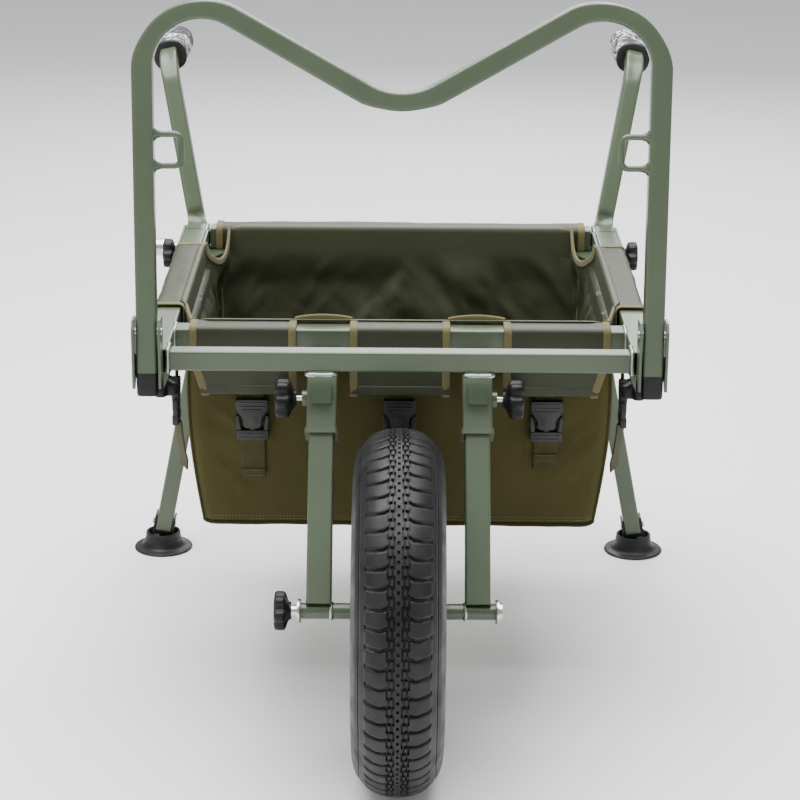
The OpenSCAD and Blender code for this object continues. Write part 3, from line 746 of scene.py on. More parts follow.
@dataclass
class FrontBar:
    """The M-shaped bar of bent square tube, with its tie loops and foot plugs."""

    half: float = 247
    foot_behind: float = -25
    foot_z: float = 404
    height: float = 353
    lean: float = math.radians(4.65)
    shoulder_r: float = 57
    arm_slope: float = math.radians(29.5)
    dip_r: float = 74
    tube: float = 20
    corner: float = 3.0
    sink: float = 2.2
    loop_h: float = 218
    loop_reach: float = 26
    loop_half: float = 15.2
    loop_rod: float = 6

    def at(self, shop: Shop, x: float, h: float, proud: float = 0) -> Vector:
        """A point of the bar's own plane.

        Args:
            shop: The shop.
            x: Distance across.
            h: Distance up the bar from its foot.
            proud: Distance behind the plane.

        Returns:
            The point, in metres.
        """
        behind = self.foot_behind + h * math.sin(self.lean) + proud * math.cos(self.lean)
        return shop.place(x, behind, self.foot_z + h * math.cos(self.lean) - proud * math.sin(self.lean))

    def route(self) -> list[tuple[float, float, float, int]]:
        """The bar's middle line from the left foot to the right.

        Returns:
            For each station, X, height, how far it is bent from 0 to 1, and which wall sinks.
        """
        shoulder_x, shoulder_h = self.half - self.shoulder_r, self.height - self.shoulder_r
        sweep_angle = math.pi / 2 + self.arm_slope
        left: list[tuple[float, float, float, int]] = []
        for h in (0, 20, 150, shoulder_h - 14, shoulder_h - 5):
            left.append((-self.half, h, 0.0, 1))
        steps = 28
        for k in range(steps + 1):
            t = k / steps
            a = math.pi - sweep_angle * t
            bend = smoothstep(min(t, 1 - t) * 3.2)
            x, h = -shoulder_x + self.shoulder_r * math.cos(a), shoulder_h + self.shoulder_r * math.sin(a)
            left.append((x, h, bend, 1))
        arm_x = shoulder_x - self.shoulder_r * math.sin(self.arm_slope)
        arm_h = shoulder_h + self.shoulder_r * math.cos(self.arm_slope)
        dip_x = self.dip_r * math.sin(self.arm_slope)
        drop = (arm_x - dip_x) * math.tan(self.arm_slope)
        dip_h = arm_h - drop + self.dip_r * math.cos(self.arm_slope)
        for t in (0.12, 0.5, 0.88):
            left.append((-arm_x + (arm_x - dip_x) * t, arm_h - drop * t, 0.0, 1 if t < 0.5 else -1))
        for k in range(13):
            t = k / 12
            a = -math.pi / 2 - self.arm_slope * (1 - t)
            bend = smoothstep(t * 1.6) * 0.8
            left.append((self.dip_r * math.cos(a), dip_h + self.dip_r * math.sin(a), bend, -1))
        right = [(-x, h, bend, way) for x, h, bend, way in reversed(left[:-1])]
        return left + right

    def build(self, shop: Shop) -> None:
        """Make the bar, its loops and its plugs.

        Args:
            shop: The shop.
        """
        stations = self.route()
        depth = (self.at(shop, 0, 0, 1) - self.at(shop, 0, 0)).normalized()
        base = rounded_outline(self.tube * MM, self.tube * MM, self.corner * MM, 4, 4)
        half = self.tube * MM / 2

        def outline(i: int) -> Outline:
            """The tube's outline at a station, its outer wall sunk where it is bent.

            Args:
                i: The station's number.

            Returns:
                The closed outline, in metres.
            """
            _, _, bend, way = stations[i]
            points = []
            for u, v in base:
                outer = max(0.0, v * way / half)
                hollow = 1 - (u / half) ** 2
                cut = bend * outer * (self.sink + 1.2 * hollow) * MM
                grow = 1 + 0.035 * bend * (1 - outer)
                points.append((u * grow, v - way * cut))
            return points

        path = [self.at(shop, x, h) for x, h, _, _ in stations]
        bar = sweep(path, [depth] * len(path), outline)
        shop.piece("front_bar_tube", bar, shop.finish.paint, "front_bar", ["front_bar"], 40)
        self.loops(shop)
        self.plugs(shop)

    def loops(self, shop: Shop) -> None:
        """Make the two rod loops and the weld at each of their ends.

        Args:
            shop: The shop.
        """
        rods, welds = [], []
        inner = self.half - self.tube / 2
        root, reach = inner + 1, inner - self.loop_reach
        # Radius and height of a weld's cone
        weld = [(7.2e-3, 0), (6.4e-3, 1e-3), (4.2e-3, 3e-3), (3.1e-3, 7e-3)]
        for side in Side:
            corners = []
            for x, h in ((root, 1), (reach, 1), (reach, -1), (root, -1)):
                corners.append(self.at(shop, side.value * x, self.loop_h + h * self.loop_half))
            path = fillet(corners, 8 * MM, 7)
            depth = (self.at(shop, 0, 0, 1) - self.at(shop, 0, 0)).normalized()
            ring = rounded_outline(self.loop_rod * MM, self.loop_rod * MM, self.loop_rod * MM * 0.499, 4)
            rods.append(sweep(path, [depth] * len(path), lambda i: ring))
            for e in (-1, 1):
                foot = self.at(shop, side.value * inner, self.loop_h + e * self.loop_half)
                away = Vector((-side.value, 0, 0))
                welds.append(lathe(weld, seat_along(foot, away), 20))
        shop.piece("tie_loop_rods", joined(rods), shop.finish.paint, "front_bar", ["tie_loops"])
        shop.piece("tie_loop_welds", joined(welds), shop.finish.paint, "front_bar", crease=60)

    def plugs(self, shop: Shop) -> None:
        """Make the two moulded plugs under the uprights.

        Args:
            shop: The shop.
        """
        parts = []
        depth = (self.at(shop, 0, 0, 1) - self.at(shop, 0, 0)).normalized()
        # Height on the upright, width and corner radius, from inside the tube down
        levels = [(10, 17, 3), (0.2, 17, 3), (0.2, 20.6, 3.2)]
        levels += [(-20, 20.2, 3.2), (-22.4, 19.2, 3.4), (-23.2, 16, 3)]
        for side in Side:
            rings = []
            for h, w, r in levels:
                ring = []
                for u, v in rounded_outline(w * MM, w * MM, r * MM):
                    ring.append(self.at(shop, side.value * self.half + u / MM, h) + depth * v)
                rings.append(ring)
            parts.append(loft(rings))
        plugs = joined(parts)
        finish, stands_for = shop.finish.plastic, ["front_bar_plugs"]
        shop.piece("front_bar_foot_plugs", plugs, finish, "front_bar", stands_for)


# ---- Handles -------------------------------------------------------------


@dataclass
class Handle:
    """One lifting handle: a bent tube and its foam grip."""

    side: Side
    rail_x: float = 241
    rail_z: float = 410
    foot_start: float = 476
    foot_len: float = 46
    rise: float = 194
    run: float = 78
    spread: float = 41
    knee_r: float = 34
    elbow_r: float = 36
    foot_w: float = 25
    tube: float = 20
    grip_gap: float = 26
    grip_len: float = 118
    grip_w: float = 40
    grip_h: float = 37

    def at(self, shop: Shop, y: float, z: float, x: float = 0) -> Vector:
        """A point of the handle's own leaning plane, from its knee.

        Args:
            shop: The shop.
            y: Distance back from the knee.
            z: Distance up the plane.
            x: Distance out of the plane.

        Returns:
            The point, in metres.
        """
        lean = math.atan2(self.spread, self.rise)
        px = self.side.value * (self.rail_x + z * math.sin(lean) + x * math.cos(lean))
        pz = self.rail_z + z * math.cos(lean) - x * math.sin(lean)
        return shop.place(px, self.foot_start + self.foot_len + y, pz)

    def route(self) -> list[tuple[float, float, float, float, float]]:
        """The tube's middle line in its own plane.

        Returns:
            For each station, Y, Z, width, knee bend and elbow bend.
        """
        back = math.atan2(self.run, self.rise)
        turn = math.pi / 2 - back
        length = math.hypot(self.run, self.rise)
        knee, elbow = self.knee_r * math.tan(turn / 2), self.elbow_r * math.tan(turn / 2)
        rows: list[tuple[float, float, float, float, float]] = [
            (-self.foot_len, 0, self.foot_w, 0, 0),
            (-knee - 8, 0, self.foot_w, 0, 0),
            (-knee - 2, 0, self.foot_w, 0.1, 0),
        ]
        steps = 14
        for k in range(steps + 1):
            t = k / steps
            a = -math.pi / 2 + turn * t
            w = self.foot_w + (self.tube - self.foot_w) * smoothstep(t * 1.2)
            bend = math.sin(math.pi * t) ** 0.6 if 0 < t < 1 else 0.0
            y, z = -knee + self.knee_r * math.cos(a), self.knee_r + self.knee_r * math.sin(a)
            rows.append((y, z, w, bend, 0))
        for t in (knee + 6, length * 0.5, length - elbow - 6):
            rows.append((t * math.sin(back), t * math.cos(back), self.tube, 0, 0))
        for k in range(steps + 1):
            t = k / steps
            a = math.pi / 2 + turn * (1 - t)
            bend = math.sin(math.pi * t) ** 0.6 if 0 < t < 1 else 0.0
            y = self.run + elbow + self.elbow_r * math.cos(a)
            z = self.rise - self.elbow_r + self.elbow_r * math.sin(a)
            rows.append((y, z, self.tube, 0, bend))
        rows.append((self.run + self.grip_gap + self.grip_len - 3, self.rise, self.tube, 0, 0))
        return rows

    def build(self, shop: Shop) -> None:
        """Make the tube and the grip.

        Args:
            shop: The shop.
        """
        body = f"{self.side.word}_handle"
        rows = self.route()
        path = [self.at(shop, y, z) for y, z, *_ in rows]
        level = Vector((self.side.value, 0, 0))
        tilted = (self.at(shop, 0, 0, 1) - self.at(shop, 0, 0)).normalized()
        wide = [level.lerp(tilted, smoothstep(z / 40)) for _, z, *_ in rows]

        def outline(i: int) -> Outline:
            """The tube's outline at a station, its inner wall pressed in at the bends.

            Args:
                i: The station's number.

            Returns:
                The closed outline, in metres.
            """
            _, _, w, knee, elbow = rows[i]
            half = w * MM / 2
            points = []
            for u, v in rounded_outline(w * MM, w * MM, 3 * MM, 3, 4):
                v = v * self.side.value
                hollow = 1 - min(1.0, (u / half) ** 2)
                up = max(0.0, -v / half)
                v += up * knee * (1.5 + 3.5 * hollow) * MM
                v += up * elbow * (1.2 + 1.6 * hollow) * MM
                points.append((u * (1 + 0.04 * max(knee, elbow)), v * self.side.value))
            return points

        tube = sweep(path, wide, outline)
        shop.piece(f"{body}_tube", tube, shop.finish.paint, body, [body], 40)
        self.grip(shop, body)

    def grip(self, shop: Shop, body: str) -> None:
        """Make the foam grip and its plain front collar.

        Args:
            shop: The shop.
            body: The handle's moving body.
        """
        start = self.run + self.grip_gap
        foam, collar = [], []
        steps = 56

        def ring(y: float, w: float, h: float) -> Ring:
            """An oval, slightly squared ring of the grip.

            Args:
                y: Distance back from the knee.
                w: Width.
                h: Height.

            Returns:
                The ring's points, in metres.
            """
            points = []
            for k in range(steps):
                a = 2 * math.pi * k / steps
                c, s = math.cos(a), math.sin(a)
                x = w / 2 * math.copysign(abs(c) ** 0.84, c)
                z = h / 2 * math.copysign(abs(s) ** 0.84, s)
                points.append(self.at(shop, y, self.rise + z, x))
            return points

        # Distance along the collar, and its size there as a part of the whole
        for y, part in ((0, 0.62), (0, 0.9), (0.8, 0.97), (4, 1.0), (6.5, 0.99), (7.5, 0.93)):
            collar.append(ring(start + y, self.grip_w * 1.02 * part, self.grip_h * 1.02 * part))
        length = self.grip_len + 3
        for k in range(31):
            t = k / 30
            y = 7 + (length - 7) * t
            swell = 0.95 + 0.05 * math.sin(math.pi * min(1, t * 1.1)) - 0.012 * math.cos(t * 8 * math.pi)
            if t > 0.9:
                swell *= math.sqrt(max(0.0, 1 - ((t - 0.9) / 0.1) ** 2 * 0.55))
            foam.append(ring(start + y, self.grip_w * swell, self.grip_h * swell))
        node = f"{self.side.word}_grip"
        grip = shop.piece(f"{node}_foam", loft(foam), shop.finish.foam, body, [node], 50)
        shop.piece(f"{node}_collar", loft(collar), shop.finish.rubber, body, crease=50)


# ---- Knobs ---------------------------------------------------------------


@dataclass
class StarKnob:
    """A six-lobed clamp knob on its stud, turned about its own axis."""

    node: str
    across: float
    deep: float
    stud: float
    stud_len: float

    def radius(self, angle: float, scale: float) -> float:
        """Radius of the lobed rim at an angle.

        Args:
            angle: The angle round the axis.
            scale: How far the scallops bite, from 0 to 1.

        Returns:
            The radius in millimetres.
        """
        r = self.across / 2
        phi = (angle + math.pi / 6) % (math.pi / 3) - math.pi / 6
        bite = r * 0.23 * scale * math.exp(-((phi / 0.24) ** 2) * 1.0)
        lobe = 0.02 * r * math.cos(6 * angle)
        return r - bite - max(0.0, lobe)

    def build(self, shop: Shop, face: Vector, out: Vector, body: str) -> None:
        """Make the knob.

        Args:
            shop: The shop.
            face: Middle of the hub's face, in metres.
            out: Direction from the hub to the lobes.
            body: The knob's moving body.
        """
        seat = seat_along(face, out)
        d = self.deep
        # Height up the axis, part of the radius, and how far the scallops bite
        levels = [
            (0.0, 0.40, 0.0), (0.0, 0.44, 0.0), (d * 0.12, 0.46, 0.0), (d * 0.2, 0.6, 0.35),
            (d * 0.3, 0.86, 0.85), (d * 0.36, 0.95, 1.0), (d * 0.45, 0.99, 1.0), (d * 0.8, 1.0, 1.0),
            (d * 0.9, 0.975, 1.0), (d * 0.96, 0.92, 0.95), (d * 0.985, 0.82, 0.85), (d, 0.68, 0.5),
            (d, 0.5, 0.0), (d * 0.985, 0.46, 0.0), (d * 0.93, 0.42, 0.0), (d * 0.92, 0.2, 0.0),
        ]
        rings = []
        steps = 96
        for h, part, lobed in levels:
            ring = []
            for k in range(steps):
                a = 2 * math.pi * k / steps
                r = self.radius(a, lobed) * part * MM
                ring.append(seat @ Vector((r * math.cos(a), r * math.sin(a), h * MM)))
            rings.append(ring)
        shop.piece(f"{self.node}_star", loft(rings), shop.finish.plastic, body, [self.node], 50)
        if self.stud_len:
            r = self.stud / 2 * MM
            profile = [(r * 0.8, -self.stud_len * MM), (r, (-self.stud_len + 0.6) * MM)]
            turns = max(1, int(self.stud_len / 1.25))
            for k in range(turns):
                h = -self.stud_len + 0.8 + k * 1.2
                profile += [(r * 0.9, (h + 0.3) * MM), (r, (h + 0.9) * MM)]
            profile += [(r, 0.0), (r * 0.5, 1 * MM)]
            stud = lathe(profile, seat, 28)
            shop.piece(f"{self.node}_stud", stud, shop.finish.steel, body, crease=60)


@dataclass
class Knobs:
    """Every clamp knob of the barrow."""

    axle_at: tuple[float, float] = (-92, 180)
    axle_x: float = -105
    fork_x: float = 78
    fork_boss: float = 217
    fork_lean: float = math.radians(34)
    receiver_w: float = 30
    boss_out: float = 11
    bracket_at: tuple[float, float, float] = (238, 18, 388.2)
    handle_at: tuple[float, float, float] = (256.6, 409, 410)
    leg_face: float = 17.3
    leg_up: float = 362 / math.cos(math.radians(11.4)) - 68

    def build(self, shop: Shop, legs: "Legs") -> None:
        """Make the nine knobs.

        Args:
            shop: The shop.
            legs: The legs, for the slope that their knobs stand on.
        """
        behind, z = self.axle_at
        axle = StarKnob("axle_knob", 39, 17, 12, 0)
        axle.build(shop, shop.place(self.axle_x, behind, z), Vector((-1, 0, 0)), "axle_knob")
        boss_behind = behind + self.fork_boss * math.sin(self.fork_lean)
        boss_z = z + self.fork_boss * math.cos(self.fork_lean)
        for side in Side:
            s, word = side.value, side.word
            out = Vector((s, 0, 0))
            fork = StarKnob(f"{word}_fork_knob", 41, 21, 6, 12)
            boss_x = s * (self.fork_x + self.receiver_w / 2 + self.boss_out)
            fork.build(shop, shop.place(boss_x, boss_behind, boss_z), out, f"{word}_fork_knob")
            bracket = StarKnob(f"{word}_bracket_knob", 39, 20, 8, 9)
            x, b, h = self.bracket_at
            bracket.build(shop, shop.place(s * x, b, h), Vector((0, 0, -1)), f"{word}_bracket_knob")
            handle = StarKnob(f"{word}_handle_knob", 34, 16, 8, 37)
            x, b, h = self.handle_at
            handle.build(shop, shop.place(s * x, b, h), out, f"{word}_handle_knob")
            leg = StarKnob(f"{word}_leg_knob", 36, 16, 6, 6)
            face = legs.at(shop, side, 0, self.leg_face, self.leg_up)
            outward = legs.at(shop, side, 0, self.leg_face + 1, self.leg_up) - face
            leg.build(shop, face, outward, f"{word}_leg_knob")


# ---- Legs and feet -------------------------------------------------------


@dataclass
class Legs:
    """The two splayed legs' feet: a boot and disc of rubber on each."""

    foot_x: float = 291
    disc_x: float = 293.5
    behind: float = 526
    pin_z: float = 34
    back: float = math.atan2(9, 376)
    splay: float = math.radians(11.4)

    def at(self, shop: Shop, side: Side, x: float, y: float, z: float) -> Vector:
        """A point of a leg's own slope, from its foot pin.

        Args:
            shop: The shop.
            side: Which leg.
            x: Distance outward across the leg.
            y: Distance behind the leg's middle.
            z: Distance up the leg.

        Returns:
            The point, in metres.
        """
        x1 = x * math.cos(self.splay) - z * math.sin(self.splay)
        z1 = x * math.sin(self.splay) + z * math.cos(self.splay)
        y2 = y * math.cos(self.back) - z1 * math.sin(self.back)
        z2 = y * math.sin(self.back) + z1 * math.cos(self.back)
        return shop.place(side.value * (self.foot_x + x1), self.behind + y2, self.pin_z + z2)

    def build(self, shop: Shop) -> None:
        """Make the rubber boot and disc of both feet.

        Args:
            shop: The shop.
        """
        # Radius and height of the boot's section, from its underside round into its mouth
        profile = [
            (0.1, 0), (30, 0), (34.5, 0), (35.8, 0.7), (36, 1.5), (35.4, 2.4), (33, 3.0), (28.5, 3.9),
            (26.2, 5), (24.8, 7), (24.2, 8.4), (23.4, 9.2), (22.8, 11), (21.6, 17), (21.2, 19), (21.5, 20),
            (21.2, 21.4), (20.2, 22), (18.8, 21.6), (18.2, 20), (18.1, 13.2), (17, 12.5), (7.5, 12.4),
            (6.9, 11.5), (0.1, 6),
        ]
        for side in Side:
            seat = Matrix.Translation(shop.place(side.value * self.disc_x, self.behind, 0))
            disc = lathe([(r * MM, h * MM) for r, h in profile], seat, 72)
            body = f"{side.word}_foot"
            shop.piece(f"{body}_boot", disc, shop.finish.rubber, body, [f"{body}_disc"], 60)


# ---- Wheel ---------------------------------------------------------------


@dataclass
class Tyre:
    """The pneumatic tyre with its block tread."""

    behind: float = -92
    z: float = 180
    core_r: float = 133.2
    plump: float = 46.8
    half: float = 44.8
    roundness: float = 0.86
    pitches: int = 60
    per_pitch: int = 20
    depth: float = 3.2

    def section(self) -> list[tuple[float, float, float]]:
        """The tyre's outer section from the left bead to the right.

        Returns:
            For each point, distance from the axle, distance across, and the tread line |w| it lies on.
        """
        # Distances across at which the tread's grooves and ribs begin and end
        lines = [0, 1.1, 1.4, 2.9, 3.1, 4.5, 4.7, 6.1, 6.3, 7.5, 7.7, 9.1, 9.3, 10.7, 10.9]
        lines += [12.5, 15, 18, 21, 24, 27, 29, 30.4, 31.2, 33, 35.2, 36.0, 36.3, 36.9, 37.2, 38.4]
        right = []
        for w in lines:
            a = math.asin(min(1.0, (w / self.half) ** (1 / self.roundness)))
            right.append((self.core_r + self.plump * math.cos(a) ** self.roundness, w, w))
        start = math.degrees(math.asin((38.4 / self.half) ** (1 / self.roundness)))
        for k in range(1, 19):
            a = math.radians(start + (110 - start) * k / 18)
            c = math.cos(a)
            r = self.core_r + self.plump * math.copysign(abs(c) ** self.roundness, c)
            right.append((r, self.half * math.sin(a) ** self.roundness, 60))
        bead = ((116, 34.4), (113.5, 33.2), (103, 33), (102.3, 32), (102.3, 25), (140, 20))
        right += [(r, w, 60) for r, w in bead]
        left = [(r, -w, line) for r, w, line in reversed(right[1:])]
        return left + right

    def cut(self, turn: float, w: float) -> float:
        """Depth of the tread's grooves.

        Args:
            turn: Distance round the tread, in pitches.
            w: Distance across, in millimetres.

        Returns:
            The depth in millimetres.
        """
        line = abs(w)
        shift = 0.0 if w > 0 else 0.5
        phase = (turn + shift) % 1.0
        step = 1.6 if phase < 0.5 else 0.0
        deep = 0.0
        if 3.0 + step <= line <= 4.6 + step or 7.6 + step <= line <= 9.2 + step:
            deep = self.depth
        edge = min(abs(phase - 0.5), phase, 1 - phase)
        if 3.0 <= line <= 10.8 and edge < 0.06:
            deep = self.depth
        if line < 1.3 and abs((turn % 0.5) - 0.25) < 0.06:
            deep = self.depth * 0.7
        if 9.2 < line < 30.8:
            t = (line - 9.2) / 21.6
            bow = 0.13 * math.sin(t * math.pi * 0.9) - 0.1 * t * t
            gap = abs((phase + bow) % 1.0 - 0.5)
            wide = 0.07 + 0.035 * (2 * t - 1) ** 2
            if gap < wide:
                deep = max(deep, self.depth * (1 - 0.35 * t))
            elif gap < wide + 0.05:
                deep = max(deep, 0.5)
        if line >= 30.8:
            deep = 0.9
        if 36.2 < line < 37:
            deep = 1.7
        return deep

    def build(self, shop: Shop) -> None:
        """Make the tyre.

        Args:
            shop: The shop.
        """
        rows = self.section()
        steps = self.pitches * self.per_pitch
        middle = shop.place(0, self.behind, self.z)
        columns = []
        for k in range(steps):
            turn = k / self.per_pitch
            a = 2 * math.pi * k / steps
            c, s = math.cos(a) * MM, math.sin(a) * MM
            ring = []
            for r, w, line in rows:
                if line < 60:
                    r -= self.cut(turn, w)
                ring.append(middle + Vector((w * MM, r * s, r * c)))
            columns.append(ring)
        tyre = loft(columns, closed=True)
        shop.piece("tyre_tread", tyre, shop.finish.tyre, "wheel", ["tyre"], 38)


# ---- Bag -----------------------------------------------------------------


def tape(
    path: Sequence[Vector], wide: Sequence[Vector], w: float, thick: float, closed: bool = False
) -> bmesh.types.BMesh:
    """A flat ribbon with rounded rims along a path.

    Args:
        path: The ribbon's middle line.
        wide: Direction across it at each point.
        w: Width.
        thick: Thickness.
        closed: Join its ends.

    Returns:
        A new bmesh.
    """
    outline = rounded_outline(w, thick, thick * 0.42, 2, 5)
    return sweep(path, wide, lambda i: outline, closed=closed)


def resample(path: Sequence[Vector], step: float) -> list[Vector]:
    """Points at even spacing along a path.

    Args:
        path: The path.
        step: The spacing.

    Returns:
        The new points, the two ends among them.
    """
    lengths = [0.0]
    for a, b in zip(path, path[1:]):
        lengths.append(lengths[-1] + (b - a).length)
    count = max(1, round(lengths[-1] / step))
    out, i = [], 0
    for k in range(count + 1):
        d = lengths[-1] * k / count
        while i < len(path) - 2 and lengths[i + 1] < d:
            i += 1
        span = lengths[i + 1] - lengths[i] or 1.0
        out.append(path[i].lerp(path[i + 1], (d - lengths[i]) / span))
    return out


def stitching(path: Sequence[Vector], up: Vector) -> bmesh.types.BMesh:
    """A line of single stitches.

    Args:
        path: The seam.
        up: Direction that faces out of the cloth.

    Returns:
        A new bmesh.
    """
    bm = bmesh.new()
    points = resample(path, STITCH + STITCH_GAP)
    for a, b in zip(points, points[1:]):
        along = (b - a).normalized()
        across = along.cross(up).normalized()
        top = across.cross(along).normalized()
        rings = []
        for t, r in ((0.0, 0.12), (0.12, 0.8), (0.5, 1.0), (0.88, 0.8), (1.0, 0.12)):
            at = a + along * (STITCH * t) + top * (0.00012 * (r - 0.3))
            ring = []
            for c, s in ((1, 0), (0, 1), (-1, 0), (0, -1)):
                ring.append(bm.verts.new(at + across * (0.0004 * r * c) + top * (0.0003 * r * s)))
            rings.append(ring)
        for first, second in zip(rings, rings[1:]):
            for i in range(4):
                j = (i + 1) % 4
                bm.faces.new((first[i], first[j], second[j], second[i]))
    bmesh.ops.recalc_face_normals(bm, faces=bm.faces)
    return bm


@dataclass
class Bag:
    """The sewn carrying bag: canvas outside, coated cloth inside, bound at its seams."""

    front_top: float = 80
    front_base: float = 105
    back: float = 482.5
    half_top: float = 214.5
    half_base: float = 208
    base_z: float = 193
    top_z: float = 392.7
    corner: float = 15
    base_r: float = 16
    cloth: float = 1.5
    sleeve_from: float = 140
    sleeve_to: float = 396
    sag: float = 4.0
    bulge: float = 9.0
    rim_z: float = 424.6
    rim_x: float = 223.8
    rim_front: float = 88.2
    rim_back: float = 473.2

    def half_at(self, z: float) -> float:
        """Half the bag's width at a height, with the bulge of its sides.

        Args:
            z: The height.

        Returns:
            The half width.
        """
        t = max(0.0, min(1.0, (z - self.base_z) / (self.top_z - self.base_z)))
        swell = self.bulge * math.sin(math.pi * 0.82 * t)
        return self.half_base + (self.half_top - self.half_base) * t + swell

    def outline(self, z: float, inset: float) -> list[tuple[float, float, float, float]]:
        """The bag's level outline at a height.

        Args:
            z: The height.
            inset: How far the outline is drawn in.

        Returns:
            For each point, X, behind, and the outward X and behind parts.
        """
        t = max(0.0, min(1.0, (z - self.base_z) / (self.top_z - self.base_z)))
        front = self.front_base + (self.front_top - self.front_base) * t + inset
        back = self.back - inset
        half = self.half_at(z) - inset
        r = max(2.0, self.corner - inset * 0.2)
        points: list[tuple[float, float, float, float]] = []
        x, rear, near = half - r, back - r, front + r
        corners = ((x, rear, 0), (-x, rear, 90), (-x, near, 180), (x, near, 270))
        counts = (90, 78, 90, 78)
        for i, (cx, cy, begin) in enumerate(corners):
            for k in range(7):
                a = math.radians(begin + 90 * k / 6)
                points.append((cx + r * math.cos(a), cy + r * math.sin(a), math.cos(a), math.sin(a)))
            nx, ny, nb = corners[(i + 1) % 4]
            a = math.radians(nb)
            end = (nx + r * math.cos(a), ny + r * math.sin(a))
            last = points[-1]
            for k in range(1, counts[i]):
                f = k / counts[i]
                px, py = last[0] + (end[0] - last[0]) * f, last[1] + (end[1] - last[1]) * f
                points.append((px, py, math.cos(a), math.sin(a)))
        return points

    def folds(self, x: float, behind: float, z: float, ox: float, oy: float) -> float:
        """How far the wall stands out or in at a point, in millimetres.

        Args:
            x: The point's X.
            behind: Its distance behind.
            z: Its height.
            ox: Outward X part of the wall there.
            oy: Outward behind part.

        Returns:
            The distance outward.
        """
        t = (z - self.base_z) / (self.top_z - self.base_z)
        if abs(oy) > 0.7:
            u, span = x, self.half_top
        else:
            u, span = behind - (self.front_base + self.back) / 2, (self.back - self.front_base) / 2
        edge = max(0.0, 1 - (abs(u) / span) ** 6)
        middle = math.sin(math.pi * max(0.0, min(1.0, t)))
        seed = 3.1 if oy < -0.7 else 7.7 if oy > 0.7 else 11.3 + (5 if ox > 0 else 0)
        p = Vector((u * MM, seed, z * MM))
        slant = Vector((u * MM + z * MM * 0.8, seed + 4, z * MM * 0.5))
        d = wrinkle(p, 0.13, 4.2) * middle + wrinkle(slant, 0.05, 1.5) * (0.35 + 0.65 * middle)
        if oy < -0.7:
            tug = smoothstep((abs(u) / span - 0.55) / 0.35)
            across = u - z * 0.9 * math.copysign(1, u)
            crease = wrinkle(Vector((across * MM, seed + 9, z * MM * 0.3)), 0.03, 3.4)
            d = d * 0.6 - 1.0 * middle + crease * tug * middle
        elif oy > 0.7:
            d = d * 1.15 + 1.5 * middle
        else:
            d -= 2.2 * middle
        return d * edge

    def build(self, shop: Shop) -> None:
        """Make the shell, its seams, its bindings, its stitching and its lining.

        Args:
            shop: The shop.
        """
        rings: list[Ring] = []
        plan = self.outline(self.base_z, 0)
        middle_b = (self.front_base + self.back) / 2
        for k in range(26):
            t = 0.004 + 0.92 * k / 25
            ring = []
            for x, b, ox, oy in plan:
                px, pb = x * t, middle_b + (b - middle_b) * t
                swell = wrinkle(Vector((px * MM, pb * MM, 1.7)), 0.11, 3.0)
                drop = -self.sag * 0.3 * (1 - t**4) + min(1.5, swell)
                ring.append(shop.place(px, pb, self.base_z + 1.5 + drop))
            rings.append(ring)
        for a in (20, 45, 70):
            ring = []
            rad = math.radians(a)
            inset = self.base_r * (1 - math.sin(rad)) * 0.8
            for x, b, ox, oy in self.outline(self.base_z, inset):
                ring.append(shop.place(x, b, self.base_z + self.base_r * 0.6 * (1 - math.cos(rad))))
            rings.append(ring)
        levels = [self.base_z + 10 + (self.top_z - self.base_z - 10) * k / 44 for k in range(45)]
        for z in levels:
            ring = []
            for x, b, ox, oy in self.outline(z, 0):
                d = self.folds(x, b, z, ox, oy)
                rise = self.rise(x, b, z)
                ring.append(shop.place(x + ox * d, b + oy * d, z + rise))
            rings.append(ring)
        for t in (0.35, 0.7, 1.0):
            ring = []
            for x, b, ox, oy in self.outline(self.top_z, 0):
                d = self.folds(x, b, self.top_z, ox, oy)
                tuck, up = self.lip(x, b, ox)
                px, pb = x + ox * (d + tuck * t), b + oy * (d + 2.0 * t * abs(oy))
                ring.append(shop.place(px, pb, self.top_z + self.rise(x, b, self.top_z) + up * t))
            rings.append(ring)
        bm = loft(rings, caps=False)
        bm.verts.ensure_lookup_table()
        bm.faces.new(bm.verts[:len(plan)])
        bmesh.ops.recalc_face_normals(bm, faces=bm.faces)
        shell = shop.piece("bag_shell", bm, shop.finish.canvas, "frame", ["bag"], 70)
        shell.data.materials.append(shop.finish.coated)
        thick = shell.modifiers.new("cloth_thickness", "SOLIDIFY")
        thick.thickness = self.cloth * MM
        thick.offset = -1
        thick.material_offset = 1
        thick.material_offset_rim = 1
        self.seams(shop)
        self.lining(shop)

    def near_corner(self, x: float, b: float) -> float:
        """How near a rim point is to one of the four loose corners, from 0 to 1.

        Args:
            x: The point's X.
            b: Its distance behind.

        Returns:
            The nearness.
        """
        front = smoothstep((self.sleeve_from - b) / 22) * smoothstep((abs(x) - 200) / 10)
        rear = smoothstep((b - self.sleeve_to) / 30) * smoothstep((abs(x) - 186) / 22)
        return max(front, rear)

    def rise(self, x: float, b: float, z: float) -> float:
        """How far the wall's upper part dips near a loose corner."""
        t = smoothstep((z - self.top_z + 60) / 60)
        return -6.0 * t * self.near_corner(x, b)

    def lip(self, x: float, b: float, ox: float) -> tuple[float, float]:
        """How the rim goes up into the sleeves.

        Args:
            x: The point's X.
            b: Its distance behind.
            ox: Outward X part of the wall there.

        Returns:
            The distances outward and upward.
        """
        if abs(ox) > 0.7 and self.sleeve_from < b < self.sleeve_to:
            return 14.5, 5.8
        held = 1 - self.near_corner(x, b)
        return 0.0, 2.0 + 3.8 * held

